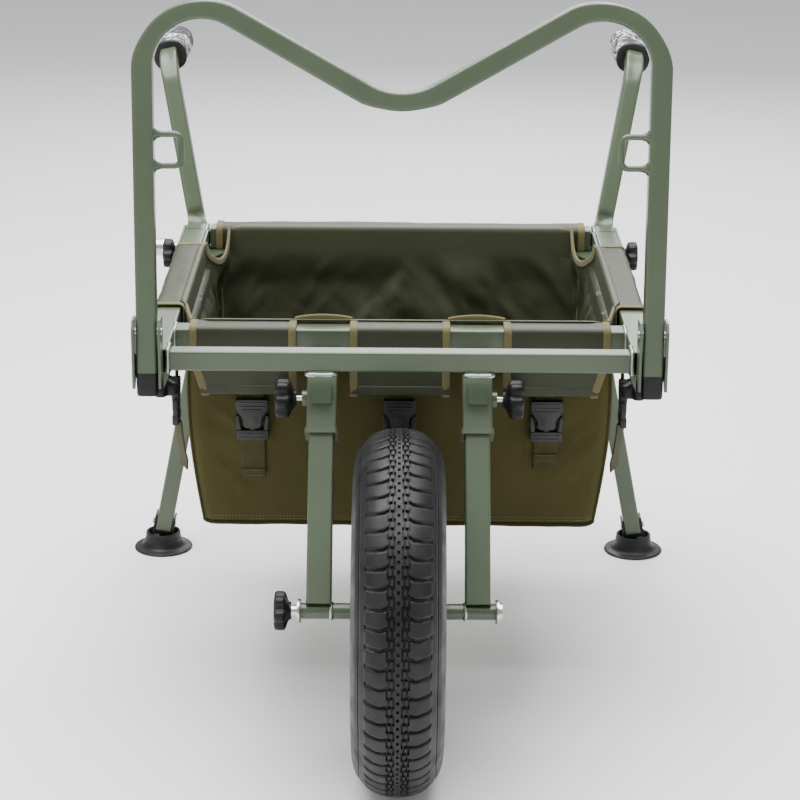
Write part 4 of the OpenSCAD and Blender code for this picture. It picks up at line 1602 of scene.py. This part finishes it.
    def seams(self, shop: Shop) -> None:
        """Make the ridged seams outside and the bound seams inside.

        Args:
            shop: The shop.
        """
        ridges, bound, sewn = [], [], []
        for side in Side:
            s = side.value
            ends = ((self.front_top, self.front_base, -1), (self.back, self.back, 1))
            for behind_top, behind_base, way in ends:
                path, wide, inner, inner_wide = [], [], [], []
                for k in range(25):
                    t = k / 24
                    z = self.base_z + 8 + (self.top_z - self.base_z - 10) * t
                    half = self.half_at(z)
                    b = behind_base + (behind_top - behind_base) * t
                    k45 = self.corner * (1 - math.sqrt(0.5)) - 0.6
                    sway = wrinkle(Vector((s * 2, way * 3, z * MM)), 0.05, 1.0)
                    path.append(shop.place(s * (half - k45), b - way * k45, z))
                    wide.append(Vector((s, way, 0)))
                    inner.append(shop.place(s * (half - k45 - 4.2 + sway), b - way * (k45 + 4.2), z))
                    inner_wide.append(Vector((s, way, 0)))
                ridges.append(tape(path, wide, 4.6 * MM, 2.2 * MM))
                bound.append(tape(inner, inner_wide, 8 * MM, 2.0 * MM))
        bottom = []
        for x, b, ox, oy in self.outline(self.base_z, 1.6):
            sway = wrinkle(Vector((x * MM, b * MM, 5)), 0.06, 0.8)
            bottom.append(shop.place(x, b, self.base_z + 2.8 + sway))
        outward = [Vector((ox, oy, -0.6)) for _, _, ox, oy in self.outline(self.base_z, 1.6)]
        ridges.append(tape(bottom, outward, 5.0 * MM, 2.2 * MM, closed=True))
        shop.piece("bag_outer_seams", joined(ridges), shop.finish.canvas, "frame", crease=60)
        shop.piece("bag_inner_bindings", joined(bound), shop.finish.binding, "frame", crease=60)
        for z_off in (6.5, 9.5):
            line = []
            for x, b, ox, oy in self.outline(self.base_z + 10, 0):
                if oy < -0.99:
                    line.append(shop.place(x + ox * 0.15, b + oy * 0.15, self.base_z + 2 + z_off))
            sewn.append(stitching(line, Vector((0, -1, 0))))
        shop.piece("bag_stitching", joined(sewn), shop.finish.thread, "frame", crease=80)

    def along_corner(self, x: float, b: float, ox: float, oy: float, rear: bool) -> float:
        """How far round a loose corner a rim point is: 0 at the rail's sleeve, 1 at the bar's.

        Args:
            x: The point's X.
            b: Its distance behind.
            ox: Outward X part of the wall there.
            oy: Outward behind part.
            rear: Whether it is a rear corner.

        Returns:
            The part of the way, below 0 and above 1 outside the corner.
        """
        turn = self.corner * math.atan2(abs(oy), abs(ox))
        if rear:
            side, whole = self.back - self.corner - self.sleeve_to, 104.0
            before = b - self.sleeve_to
        else:
            side, whole = self.sleeve_from - self.front_top - self.corner, 70.0
            before = self.sleeve_from - b
        if abs(oy) < 0.01:
            return before / whole
        if abs(ox) < 0.01:
            return (side + self.corner * math.pi / 2 + self.half_top - self.corner - abs(x)) / whole
        return (side + turn) / whole

    def rim_at(self, x: float, b: float, ox: float, oy: float) -> tuple[float, float, float]:
        """Where the lining's rim goes at a point of the outline.

        Args:
            x: The point's X.
            b: Its distance behind.
            ox: Outward X part of the wall there.
            oy: Outward behind part.

        Returns:
            X, distance behind and height.
        """
        s = math.copysign(1, x)
        rear = b > 280
        t = self.along_corner(x, b, ox, oy, rear)
        bar = self.rim_back if rear else self.rim_front
        if t <= 0:
            return s * self.rim_x, b, self.rim_z
        if t >= 1:
            return x, bar, self.rim_z
        inward = math.sin(math.pi * t) * (15 if rear else 1.5)
        start = (223.0, self.sleeve_to if rear else self.sleeve_from)
        stop = (201.0, bar) if rear else (210.0, bar)
        corner = (219.0, bar - 6) if rear else (216.0, bar + 10)
        u, v, w = (1 - t) ** 2, 2 * t * (1 - t), t * t
        px = start[0] * u + corner[0] * v + stop[0] * w - inward * 0.7
        pb = start[1] * u + corner[1] * v + stop[1] * w - (inward * 0.7 if rear else -inward * 0.7)
        if rear:
            z = 424.2 - 10 * (1 - t) ** 3 - 27 * math.sin(math.pi * t**0.8) ** 1.2
        else:
            z = 424.2 - 6 * math.sin(math.pi * t)
        return s * px, pb, z

    def lining(self, shop: Shop) -> None:
        """Make the coated lining that falls from the sleeves inside the bag, and bind its loose rim.

        Args:
            shop: The shop.
        """
        plan_top = self.outline(self.top_z, 0)
        rings: list[Ring] = []
        levels = 54
        # The lining leaves the wall for its rim from this height up
        floor, turn_z, straight_z = self.base_z + 12, 352.0, 397.0
        for k in range(levels + 1):
            t = k / levels
            ring = []
            for x0, b0, ox, oy in plan_top:
                rx, rb, rz = self.rim_at(x0, b0, ox, oy)
                z = floor + (rz - floor) * t
                wall_z = min(z, self.top_z)
                down = (self.top_z - wall_z) / (self.top_z - self.base_z)
                slope = (self.front_base - self.front_top) * (self.back - b0) / (self.back - self.front_top)
                wx = x0 * self.half_at(wall_z) / self.half_at(self.top_z)
                wb = b0 + down * slope
                d = self.folds(wx, wb, wall_z, ox, oy) - self.cloth - 0.8
                hang = smoothstep((z - turn_z) / (min(rz, straight_z) - turn_z))
                middle = math.sin(math.pi * min(1.0, t * 1.02)) ** 0.7
                u = wx if abs(oy) > 0.7 else wb
                lean = 0.55 * z if u > 0 else -0.55 * z
                seed = 21.7 + (3 if oy > 0.7 else 0) + (6 if ox > 0.7 else 0)
                p = Vector(((u + lean) * MM, seed, z * MM * 0.3))
                fold = max(0.0, wrinkle(p, 0.06, 15.0) + 2.0) * middle
                fold += max(0.0, wrinkle(p * 2.3, 0.06, 4.0)) * middle
                fold = 12.0 * math.tanh(fold / 9.0)
                if oy < -0.7:
                    fold *= 0.25
                px, pb = wx + ox * (d - fold), wb + oy * (d - fold)
                px, pb = px + (rx - px) * hang, pb + (rb - pb) * hang
                px, pb = px - ox * fold * 0.4 * hang * (1 - hang), pb - oy * fold * 0.4 * hang * (1 - hang)
                ring.append(shop.place(px, pb, z))
            rings.append(ring)
        last = rings[-1]
        # Where a sleeve holds the rim, it is tucked outward over the tube
        for out, up in ((2.0, 1.4), (6.5, 1.9)):
            ring = []
            for (x, b, ox, oy), at in zip(plan_top, last):
                t = self.along_corner(x, b, ox, oy, b > 280)
                free = smoothstep((t + 0.2) / 0.15) if t < 1 else 0.0
                ring.append(at + Vector((ox * out, oy * out, up)) * ((1 - free) * MM))
            rings.append(ring)
        lining = loft(rings, caps=False)
        obj = shop.piece("bag_lining", lining, shop.finish.lining, "frame", crease=70)
        thick = obj.modifiers.new("cloth_thickness", "SOLIDIFY")
        thick.thickness = 1.0 * MM
        thick.offset = 0
        tapes = []
        for s in (-1, 1):
            for rear in (False, True):
                picked = []
                for (x, b, ox, oy), at in zip(plan_top, last):
                    t = self.along_corner(x, b, ox, oy, rear)
                    if x * s > 0 and (b > 280) == rear and -0.01 <= t <= 1.01:
                        picked.append((t, at))
                picked.sort(key=lambda row: row[0])
                path = resample([at for _, at in picked], 4 * MM)
                tapes.append(tape(path, [Vector((0, 0, 1))] * len(path), 8 * MM, 3.2 * MM))
        shop.piece("bag_rim_bindings", joined(tapes), shop.finish.binding, "frame", crease=60)


# ---- Sleeves -------------------------------------------------------------


@dataclass
class Sleeves:
    """The cloth sleeves that carry the bag on the rails and bars, with the front flap."""

    rail_x: float = 241
    rail_z: float = 410
    side_from: float = 140
    side_to: float = 396
    wrap: float = 29.4
    cloth: float = 1.2
    bar_behind: float = 72
    rear_behind: float = 490.5
    flap_z: float = 355
    cut_inner: float = 51
    cut_outer: float = 105
    front_half: float = 213.5
    rear_half: float = 216.5
    tape_w: float = 8
    wall_behind: float = 86.9
    wall_foot: float = 391
    crown: float = 424

    def hoop(self, w: float, h: float, slack: float) -> Outline:
        """The outline of a sleeve round a tube, slack below, from the lower rear corner round.

        Args:
            w: Width across.
            h: Height.
            slack: How far its underside hangs.

        Returns:
            The closed outline.
        """
        points = rounded_outline(w, h, 5.2, 4, 4)
        out = []
        for u, v in points:
            if v < -h * 0.2:
                v -= slack * (1 - (u / (w / 2)) ** 2)
            out.append((u, v))
        return out

    def side_sleeve(self, shop: Shop, side: Side) -> None:
        """Make a rail's sleeve and its end bindings.

        Args:
            shop: The shop.
            side: Which rail.
        """
        rings = []
        start, stop = self.side_from, self.side_to
        rail_x, word = side.value * self.rail_x, side.word
        for k in range(49):
            b = start + (stop - start) * k / 48
            ring = []
            for u, v in self.hoop(self.wrap, self.wrap, 1.2):
                p = Vector((u * MM * 2, b * MM, v * MM * 2 + side.value))
                d = wrinkle(p, 0.045, 0.9) + wrinkle(p, 0.15, 0.8)
                length = math.hypot(u, v) or 1
                grow = 1 + max(-0.5, min(1.0, d)) / length
                ring.append(shop.place(rail_x + u * grow, b, self.rail_z + v * grow))
            rings.append(ring)
        self.panel(shop, f"{word}_rail_sleeve", loft(rings, caps=False), [f"{word}_sleeve"])
        bands = []
        around = self.hoop(self.wrap + 1.6, self.wrap + 1.6, 1.2)
        for b in (start + 3.4, stop - 3.4):
            hoop = [shop.place(rail_x + u, b, self.rail_z + v) for u, v in around]
            bands.append(tape(hoop, [Vector((0, 1, 0))] * len(hoop), self.tape_w * MM, 1.6 * MM, closed=True))
        self.bindings(shop, f"{word}_rail_sleeve_bindings", bands)

    def panel(
        self, shop: Shop, name: str, cloth: bmesh.types.BMesh, stands_for: Optional[list[str]] = None
    ) -> bpy.types.Object:
        """Finish a length of coated cloth and give it its thickness.

        Args:
            shop: The shop.
            name: The piece's name.
            cloth: Its surface.
            stands_for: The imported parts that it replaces.

        Returns:
            The new object.
        """
        obj = shop.piece(name, cloth, shop.finish.coated, "frame", stands_for or [], 60)
        thick = obj.modifiers.new("cloth_thickness", "SOLIDIFY")
        thick.thickness = self.cloth * MM
        thick.offset = 0
        return obj

    def bindings(self, shop: Shop, name: str, bands: Sequence[bmesh.types.BMesh]) -> None:
        """Finish the tapes that bind a sleeve as one piece."""
        shop.piece(name, joined(bands), shop.finish.binding, "frame", crease=60)

    def front_profile(self, x: float) -> Outline:
        """The front sleeve's section with its flap, from inside the front round the bar and down.

        Args:
            x: Where across the barrow.

        Returns:
            Behind and height offsets from the bar's centre.
        """
        h = self.wrap / 2
        corners = ((-h + 1.4, -h + 1.0), (h - 2, -h - 0.6), (h, -h + 3), (h, h), (-h, h), (-h, -h))
        rounded = fillet([Vector((b, z, 0)) for b, z in corners], 4.6, 5)
        drop = self.flap_z - self.rail_z
        for k in range(1, 15):
            z = -h + (drop + h) * k / 14
            t = (z + h) / (drop + h)
            wave = wrinkle(Vector((x * MM, z * MM, 9)), 0.09, 2.4)
            wave += wrinkle(Vector((x * MM, z * MM, 2)), 0.035, 0.7)
            rounded.append(Vector((-h + t * (1.2 + wave), z, 0)))
        return [(p.x, p.y) for p in rounded]

    def flap_at(self, shop: Shop, x: float, b: float, z: float) -> Vector:
        """A point of the front sleeve from its section."""
        return shop.place(self.drawn_in(x, self.rail_z + z), self.bar_behind + b, self.rail_z + z)

    def drawn_in(self, x: float, z: float) -> float:
        """X of a flap point once its outer end slants in toward its hem.

        Args:
            x: X in the flat cloth.
            z: The point's height.

        Returns:
            The X.
        """
        t = max(0.0, min(1.0, (self.rail_z - self.wrap / 2 - 2 - z) / 38))
        part = max(0.0, (abs(x) - self.cut_outer) / (self.front_half - self.cut_outer))
        return math.copysign(abs(x) - 12 * t * part, x)

    def front(self, shop: Shop) -> None:
        """Make the front sleeve's three lengths with their flaps, hems and bindings.

        Args:
            shop: The shop.
        """
        end, outer, inner = self.front_half, self.cut_outer, self.cut_inner
        for name, x0, x1 in (("left", -end, -outer), ("middle", -inner, inner), ("right", outer, end)):
            rows = []
            steps = max(12, round((x1 - x0) / 3))
            for k in range(steps + 1):
                x = x0 + (x1 - x0) * k / steps
                profile = self.front_profile(x)
                rows.append([self.flap_at(shop, x, b, z) for b, z in profile])
            stands_for = ["front_sleeve"] if name == "middle" else []
            cloth = loft(rows, caps=False, ring_closed=False)
            obj = self.panel(shop, f"front_flap_{name}", cloth, stands_for)
            profile = self.front_profile(x0)
            self.front_edges(shop, name, x0, x1)

    def front_edges(self, shop: Shop, name: str, x0: float, x1: float) -> None:
        """Make the bindings and the hem of one length of the front flap.

        Args:
            shop: The shop.
            name: The length's name.
            x0: Its left end.
            x1: Its right end.
        """
        bands = []
        for x, way in ((x0, 1), (x1, -1)):
            mid = x + way * self.tape_w / 2
            points = []
            for b, z in self.front_profile(mid):
                points.append(self.flap_at(shop, mid, b, z))
            points = points[2:] + [points[-1] + Vector((0, 0, -2.5 * MM))]
            bands.append(tape(points, [Vector((1, 0, 0))] * len(points), self.tape_w * MM, 3.0 * MM))
        self.bindings(shop, f"front_flap_{name}_bindings", bands)
        hem, wide = [], []
        steps = 24
        for k in range(steps + 1):
            x = x0 + (x1 - x0) * k / steps
            b, z = self.front_profile(x)[-2]
            hem.append(self.flap_at(shop, x, b, z + 1.5))
            wide.append(Vector((0, 0, 1)))
        sewn = tape(hem, wide, 10 * MM, 3.2 * MM)
        shop.piece(f"front_flap_{name}_hem", sewn, shop.finish.coated, "frame", crease=60)

    def cut_outs(self, shop: Shop) -> None:
        """Make the wall seen behind the bar between the sleeve's lengths, and its arched binding.

        Args:
            shop: The shop.
        """
        walls, arches = [], []
        for side in Side:
            s = side.value
            rows, top = [], []
            for k in range(25):
                t = k / 24
                x = s * (self.cut_inner - 1 + (self.cut_outer - self.cut_inner + 2) * t)
                crown = self.crown + 3.2 * math.sin(math.pi * t) ** 0.7
                row = []
                for j in range(10):
                    z = self.wall_foot + (crown - self.wall_foot) * j / 9
                    ripple = wrinkle(Vector((x * MM, 0, z * MM)), 0.05, 0.6)
                    row.append(shop.place(x, self.wall_behind + ripple, z))
                rows.append(row)
                top.append(row[-1])
            walls.append(loft(rows, caps=False, ring_closed=False))
            arches.append(tape(top, [Vector((0, 0, 1))] * len(top), 9 * MM, 3.4 * MM))
        self.panel(shop, "cut_out_walls", joined(walls))
        self.bindings(shop, "cut_out_bindings", arches)

    def rear(self, shop: Shop) -> None:
        """Make the rear bar's sleeve and its end bindings.

        Args:
            shop: The shop.
        """
        rings = []
        for k in range(73):
            x = -self.rear_half + 2 * self.rear_half * k / 72
            ring = []
            for u, v in self.hoop(self.wrap, self.wrap, 1.0):
                p = Vector((x * MM, u * MM * 2, v * MM * 2 + 4))
                d = wrinkle(p, 0.05, 0.9) + wrinkle(p, 0.2, 0.9)
                grow = 1 + max(-0.5, min(1.1, d)) / (math.hypot(u, v) or 1)
                ring.append(shop.place(x, self.rear_behind + u * grow, self.rail_z + v * grow))
            rings.append(ring)
        self.panel(shop, "rear_bar_sleeve", loft(rings, caps=False), ["rear_sleeve"])
        bands = []
        around = self.hoop(self.wrap + 1.6, self.wrap + 1.6, 1.0)
        for side in Side:
            x = side.value * (self.rear_half - 3.4)
            hoop = [shop.place(x, self.rear_behind + u, self.rail_z + v) for u, v in around]
            bands.append(tape(hoop, [Vector((1, 0, 0))] * len(hoop), self.tape_w * MM, 1.6 * MM, closed=True))
        self.bindings(shop, "rear_bar_sleeve_bindings", bands)

    def build(self, shop: Shop) -> None:
        """Make every sleeve.

        Args:
            shop: The shop.
        """
        for side in Side:
            self.side_sleeve(shop, side)
        self.front(shop)
        self.cut_outs(shop)
        self.rear(shop)


# ---- Straps --------------------------------------------------------------


@dataclass
class Straps:
    """The webbing straps and side-release buckles on the bag."""

    front_x: tuple[float, ...] = (-152, 0, 152)
    slope: float = math.atan2(25, 199.7)
    rim_behind: float = 80
    rim_z: float = 392.7
    web_w: float = 25
    web_t: float = 1.7
    side_x: float = 236
    side_behind: float = 164.5
    buckle_down: float = 73
    tails: tuple[float, ...] = (141, 122, 122)

    def on_wall(self, shop: Shop, x: float, down: float, out: float) -> Vector:
        """A point on the front wall.

        Args:
            shop: The shop.
            x: Distance across.
            down: Distance down the wall from its rim.
            out: Distance out of the wall.

        Returns:
            The point, in metres.
        """
        c, s = math.cos(self.slope), math.sin(self.slope)
        return shop.place(x, self.rim_behind + down * s - out * c, self.rim_z - down * c - out * s)

    def buckle(self, seat: Matrix) -> bmesh.types.BMesh:
        """A side-release buckle in a seat: X across, Y up the strap, Z out.

        Args:
            seat: The seat at its middle, in metres.

        Returns:
            A new bmesh.
        """
        def mirrored(right: Outline) -> Outline:
            """A whole outline, in metres, from its right half in millimetres."""
            return [(x * MM, y * MM) for x, y in right] + [(-x * MM, y * MM) for x, y in reversed(right)]

        parts = []
        up = seat @ Matrix.Translation((0, 0, 1.5 * MM))
        frame = [(15.5, 23), (16.6, 21.5), (16.6, 11.5), (14.6, 8.5), (10.8, 3.5)]
        frame += [(9.4, -1.5), (9.8, -6), (7.2, -9.2), (2.6, -9.6)]
        parts.append(slab(mirrored(frame), 7.6 * MM, up, 1.1 * MM))
        plug = mirrored([(15.8, -12), (16.4, -13.5), (16.4, -21.8), (15.4, -23)])
        parts.append(slab(plug, 6.8 * MM, up, 0.9 * MM))
        prong = [(11.6, -12), (12.4, -6), (13.2, 0), (14.4, 4.6)]
        prong += [(16.3, 4.9), (17, 0), (16.8, -7), (16.2, -12)]
        for s in (-1, 1):
            arm = [(s * x * MM, y * MM) for x, y in prong]
            if s < 0:
                arm.reverse()
            parts.append(slab(arm, 5.4 * MM, up, 0.8 * MM))
        tongue = mirrored([(3.0, -12), (2.4, -6), (2.0, 6)])
        parts.append(slab(tongue, 4.2 * MM, up, 0.5 * MM))
        for y, w, t in ((19.5, 27, 8.6), (15.2, 27, 8.8), (-16.0, 28, 7.8), (-20.4, 28, 7.8)):
            bar = seat @ Matrix.Translation((0, y * MM, 1.5 * MM))
            parts.append(slab(rounded_outline(w * MM, 2.2 * MM, 1 * MM, 3), t * MM, bar, 0.6 * MM))
        recess = mirrored([(10.5, 12.5), (9.0, 8.0), (4.5, 2.0), (4.5, -5.0)])
        parts.append(slab(recess, 8.6 * MM, up, 0.5 * MM))
        return joined(parts)

    def strap(self, points: Sequence[Vector], across: Vector, width: float) -> bmesh.types.BMesh:
        """Webbing along a line of points.

        Args:
            points: The webbing's corners.
            across: Direction of its width.
            width: Its width in metres.

        Returns:
            A new bmesh.
        """
        path = resample(fillet(points, 6 * MM, 5), 3 * MM)
        return tape(path, [across] * len(path), width, self.web_t * MM)

    def build(self, shop: Shop) -> None:
        """Make the straps, their sewn ends and their buckles.

        Args:
            shop: The shop.
        """
        webs, buckles, sewn = [], [], []
        wide = Vector((1, 0, 0))
        # Each point is given by its distances down the wall and out of it
        for x, tail in zip(self.front_x, self.tails):
            top = [self.on_wall(shop, x, d, o) for d, o in ((1, 2.2), (30, 2.0), (52, 3.4), (55, 4.6))]
            webs.append(self.strap(top, wide, self.web_w * MM))
            low = [self.on_wall(shop, x, d, o) for d, o in ((88, 5.0), (96, 4.0), (104, 2.6), (tail, 2.2))]
            webs.append(self.strap(low, wide, self.web_w * MM))
            under = [self.on_wall(shop, x, d, 1.0) for d in (60, 96, 132)]
            webs.append(self.strap(under, wide, self.web_w * MM))
            end = [self.on_wall(shop, x, d, 3.6) for d in (tail - 9, tail)]
            webs.append(self.strap(end, wide, self.web_w * MM))
            up = (self.on_wall(shop, x, 0, 0) - self.on_wall(shop, x, 10, 0)).normalized()
            out = (self.on_wall(shop, x, 0, 10) - self.on_wall(shop, x, 0, 0)).normalized()
            seat = Matrix((up.cross(out), up, out)).transposed().to_4x4()
            seat.translation = self.on_wall(shop, x, self.buckle_down, 4.6)
            buckles.append(self.buckle(seat))
            for d in (tail - 8, tail - 1.5, 34, 44):
                line = [self.on_wall(shop, x + u, d, 4.6 if d > 60 else 3.2) for u in (-10, 10)]
                sewn.append(stitching(line, Vector((0, -1, 0))))
        self.finish_straps(shop, "front_strap", webs, buckles, ["bag_straps"], ["front_buckles"])
        stitches = joined(sewn)
        shop.piece("front_strap_stitching", stitches, shop.finish.thread, "frame", crease=80)
        self.side_straps(shop)

    def side_straps(self, shop: Shop) -> None:
        """Make the strap and buckle that hang from each rail's sleeve.

        Args:
            shop: The shop.
        """
        webs, buckles = [], []
        # Distance out from the strap's plumb line and height, above the buckle and below it
        upper = ((0, 396), (0.5, 370), (1, 334))
        lower = ((1, 292), (0.2, 280), (-2, 262), (-5, 248), (-4.4, 238))
        for side in Side:
            s = side.value
            for part, twist in ((upper, 0.0), (lower, 0.45)):
                points = [shop.place(s * (self.side_x + out), self.side_behind, z) for out, z in part]
                webs.append(self.strap(points, Vector((twist * s, 1, 0)), self.web_w * MM))
            up, out = Vector((0, 0, 1)), Vector((s, 0, 0))
            seat = Matrix((up.cross(out), up, out)).transposed().to_4x4()
            seat.translation = shop.place(s * (self.side_x + 0.6), self.side_behind, 312)
            buckles.append(self.buckle(seat))
        self.finish_straps(shop, "side_strap", webs, buckles, [], ["side_buckles"])

    def finish_straps(
        self,
        shop: Shop,
        name: str,
        webs: Sequence[bmesh.types.BMesh],
        buckles: Sequence[bmesh.types.BMesh],
        web_nodes: list[str],
        buckle_nodes: list[str],
    ) -> None:
        """Finish a set of straps as two pieces: their webbing and their buckles.

        Args:
            shop: The shop.
            name: The first part of both pieces' names.
            webs: The lengths of webbing.
            buckles: The buckles.
            web_nodes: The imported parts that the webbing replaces.
            buckle_nodes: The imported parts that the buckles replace.
        """
        finish = shop.finish
        shop.piece(f"{name}_webbing", joined(webs), finish.webbing, "frame", web_nodes, 60)
        shop.piece(f"{name}_buckles", joined(buckles), finish.buckle, "frame", buckle_nodes, 40)


# ---- Welds ---------------------------------------------------------------


@dataclass
class Welds:
    """The rippled weld beads where the frame's tubes meet."""

    size: float = 2.3
    ripple: float = 2.6
    bars_behind: tuple[float, ...] = (0, 72, 490.5)
    rail_face: float = 228.6
    rail_z: float = 410
    bar_w: float = 23.5
    receiver_at: tuple[float, float, float] = (78, 0, 397.6)
    axle_at: tuple[float, float, float] = (65.6, -92, 180)
    axle_w: float = 14.6

    def bead(self, path: Sequence[Vector], out: Sequence[Vector]) -> bmesh.types.BMesh:
        """A rippled bead round a closed path.

        Args:
            path: The joint's line.
            out: Direction away from the joint at each point.

        Returns:
            A new bmesh.
        """
        ring = rounded_outline(2, 2, 0.98, 3)

        def outline(i: int) -> Outline:
            """The bead's outline, larger at each ripple."""
            r = self.size * MM * (0.82 + 0.24 * abs(math.sin(i * 1.05)) + 0.1 * math.sin(i * 0.37))
            return [(u * r, v * r) for u, v in ring]

        return sweep(path, out, outline, closed=True)

    def hoop(
        self, at: Vector, normal: Vector, across: Vector, w: float, h: float, r: float
    ) -> bmesh.types.BMesh:
        """A bead round a tube's end.

        Args:
            at: Middle of the joint.
            normal: The tube's direction.
            across: Direction of the tube's width.
            w: The tube's width.
            h: Its height.
            r: Its corner radius.

        Returns:
            A new bmesh.
        """
        seat = seat_along(at, normal, across)
        loop = [seat @ Vector((u * MM, v * MM, 0)) for u, v in rounded_outline(w, h, r, 3, 8)]
        loop = resample(loop + [loop[0]], self.ripple * MM * 0.4)[:-1]
        out = [(p - at).normalized() for p in loop]
        return self.bead(loop, out)

    def build(self, shop: Shop) -> None:
        """Make every bead.

        Args:
            shop: The shop.
        """
        beads, fork_beads = [], []
        x_axis, y_axis, z_axis = Vector((1, 0, 0)), Vector((0, 1, 0)), Vector((0, 0, 1))
        for side in Side:
            s = side.value
            for behind in self.bars_behind:
                at = shop.place(s * self.rail_face, behind, self.rail_z)
                beads.append(self.hoop(at, x_axis, y_axis, self.bar_w, self.bar_w, 3))
            x, behind, z = self.receiver_at
            beads.append(self.hoop(shop.place(s * x, behind, z), z_axis, x_axis, 28, 24, 3))
            x, behind, z = self.axle_at
            at = shop.place(s * x, behind, z)
            fork_beads.append(self.hoop(at, x_axis, y_axis, self.axle_w, self.axle_w, 7.2))
        shop.piece("frame_weld_beads", joined(beads), shop.finish.weld, "frame", crease=80)
        shop.piece("fork_weld_beads", joined(fork_beads), shop.finish.weld, "fork", crease=80)


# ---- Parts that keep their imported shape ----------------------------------


@dataclass
class FrameParts:
    """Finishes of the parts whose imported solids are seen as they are."""

    paint: tuple[str, ...] = (
        "left_rail", "right_rail", "front_crossbar", "front_bag_bar", "rear_bag_bar", "left_fork_receiver",
        "right_fork_receiver", "left_front_bracket", "right_front_bracket", "left_rear_gusset",
        "right_rear_gusset", "left_leg_socket", "right_leg_socket", "left_fork_leg", "right_fork_leg",
        "axle_tubes", "left_leg", "right_leg", "left_handle_plates", "right_handle_plates",
    )
    plastic: tuple[str, ...] = ("rail_plugs", "hub", "left_foot_clevis", "right_foot_clevis")
    steel: tuple[str, ...] = (
        "front_bar_pins", "axle_bolt", "wheel_bearings", "rim_bolts", "pull_pin_sleeve", "pull_pin",
        "left_foot_pin", "right_foot_pin",
    )

    def build(self, shop: Shop, nodes: dict[str, bpy.types.Object]) -> None:
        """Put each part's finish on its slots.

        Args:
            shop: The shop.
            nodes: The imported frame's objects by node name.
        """
        choice = [(self.paint, shop.finish.paint), (self.plastic, shop.finish.plastic)]
        choice += [(self.steel, shop.finish.steel), (("rim",), shop.finish.rim_paint)]
        for names, finish in choice:
            for name in names:
                obj = nodes[name]
                for seat in obj.material_slots:
                    seat.link = "OBJECT"
                    seat.material = finish
                LOG.info("%s: dressed in %s", name, finish.name)


# ---- Studio --------------------------------------------------------------


@dataclass
class Studio:
    """Camera, soft lights and the plain floor."""

    camera_x: float = -2
    camera_behind: float = -2251.6
    camera_z: float = 1109
    pitch: float = 18.21
    yaw: float = -0.06
    roll: float = 0.41
    lens: float = 107.3
    # Each light's name, place, size and power
    lights: tuple[tuple[str, tuple[float, float, float], float, float], ...] = (
        ("overhead", (-0.2, 0.0, 2.6), 2.6, 185),
        ("front_left", (-2.2, -2.4, 1.6), 1.6, 14),
        ("front_right", (2.3, -2.1, 1.2), 1.4, 4),
        ("behind", (0.3, 2.6, 1.9), 1.8, 52),
    )

    def light(self, name: str, at: Vector, target: Vector, size: float, power: float) -> None:
        """Add a square area light.

        Args:
            name: The light's name.
            at: Where it stands.
            target: What it faces.
            size: Its side in metres.
            power: Its power in watts.
        """
        data = bpy.data.lights.new(name, "AREA")
        data.shape = "SQUARE"
        data.size = size
        data.energy = power
        obj = bpy.data.objects.new(name, data)
        obj.location = at
        obj.rotation_euler = (target - at).to_track_quat("-Z", "Y").to_euler()
        bpy.context.scene.collection.objects.link(obj)

    def camera(self, shop: Shop) -> None:
        """Set up the camera.

        Args:
            shop: The shop.
        """
        data = bpy.data.cameras.new("camera")
        data.lens = self.lens
        data.sensor_width = 36
        data.clip_end = 60
        camera = bpy.data.objects.new("camera", data)
        turn = Matrix.Rotation(math.radians(self.yaw), 4, "Z")
        turn @= Matrix.Rotation(math.radians(90 - self.pitch), 4, "X")
        turn @= Matrix.Rotation(math.radians(self.roll), 4, "Z")
        at = shop.place(self.camera_x, self.camera_behind, self.camera_z)
        camera.matrix_world = Matrix.Translation(at) @ turn
        bpy.context.scene.collection.objects.link(camera)
        bpy.context.scene.camera = camera

    def surroundings(self) -> None:
        """Set up the even light that comes from all round."""
        world = bpy.data.worlds.new("surroundings")
        world.use_nodes = True
        back = world.node_tree.nodes["Background"]
        back.inputs["Color"].default_value = (0.93, 0.95, 0.97, 1)
        back.inputs["Strength"].default_value = 0.6
        bpy.context.scene.world = world

    def floor(self) -> None:
        """Lay the pale floor."""
        bm = bmesh.new()
        bmesh.ops.create_grid(bm, x_segments=8, y_segments=8, size=12)
        mesh = bpy.data.meshes.new("floor")
        bm.to_mesh(mesh)
        bm.free()
        floor = bpy.data.objects.new("floor", mesh)
        g = Graph("pale_floor", 0.75)
        g.colour(g.ramp(g.speckle(2, 3), [(0.3, (0.94, 0.94, 0.94)), (0.7, (0.96, 0.96, 0.96))]))
        mesh.materials.append(g.material)
        bpy.context.scene.collection.objects.link(floor)

    def build(self, shop: Shop) -> None:
        """Set up the camera, the lights, the surroundings and the floor.

        Args:
            shop: The shop.
        """
        self.camera(shop)
        middle = shop.place(0, 150, 350)
        for name, at, size, power in self.lights:
            self.light(name, Vector(at), middle, size, power)
        self.surroundings()
        self.floor()


def main() -> None:
    """Build the barrow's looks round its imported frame, piece by piece."""
    logging.basicConfig(level=logging.INFO, format="%(name)s %(message)s")
    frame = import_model()
    low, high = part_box("front_crossbar")
    shop = Shop(Finishes(), Vector((0, (low[1] + high[1]) / 2, 0)))
    legs = Legs()
    FrontBar().build(shop)
    for side in Side:
        Handle(side).build(shop)
    Knobs().build(shop, legs)
    legs.build(shop)
    Tyre().build(shop)
    Bag().build(shop)
    Sleeves().build(shop)
    Straps().build(shop)
    Welds().build(shop)
    FrameParts().build(shop, frame["nodes"])
    Studio().build(shop)


if __name__ == "__main__":
    main()
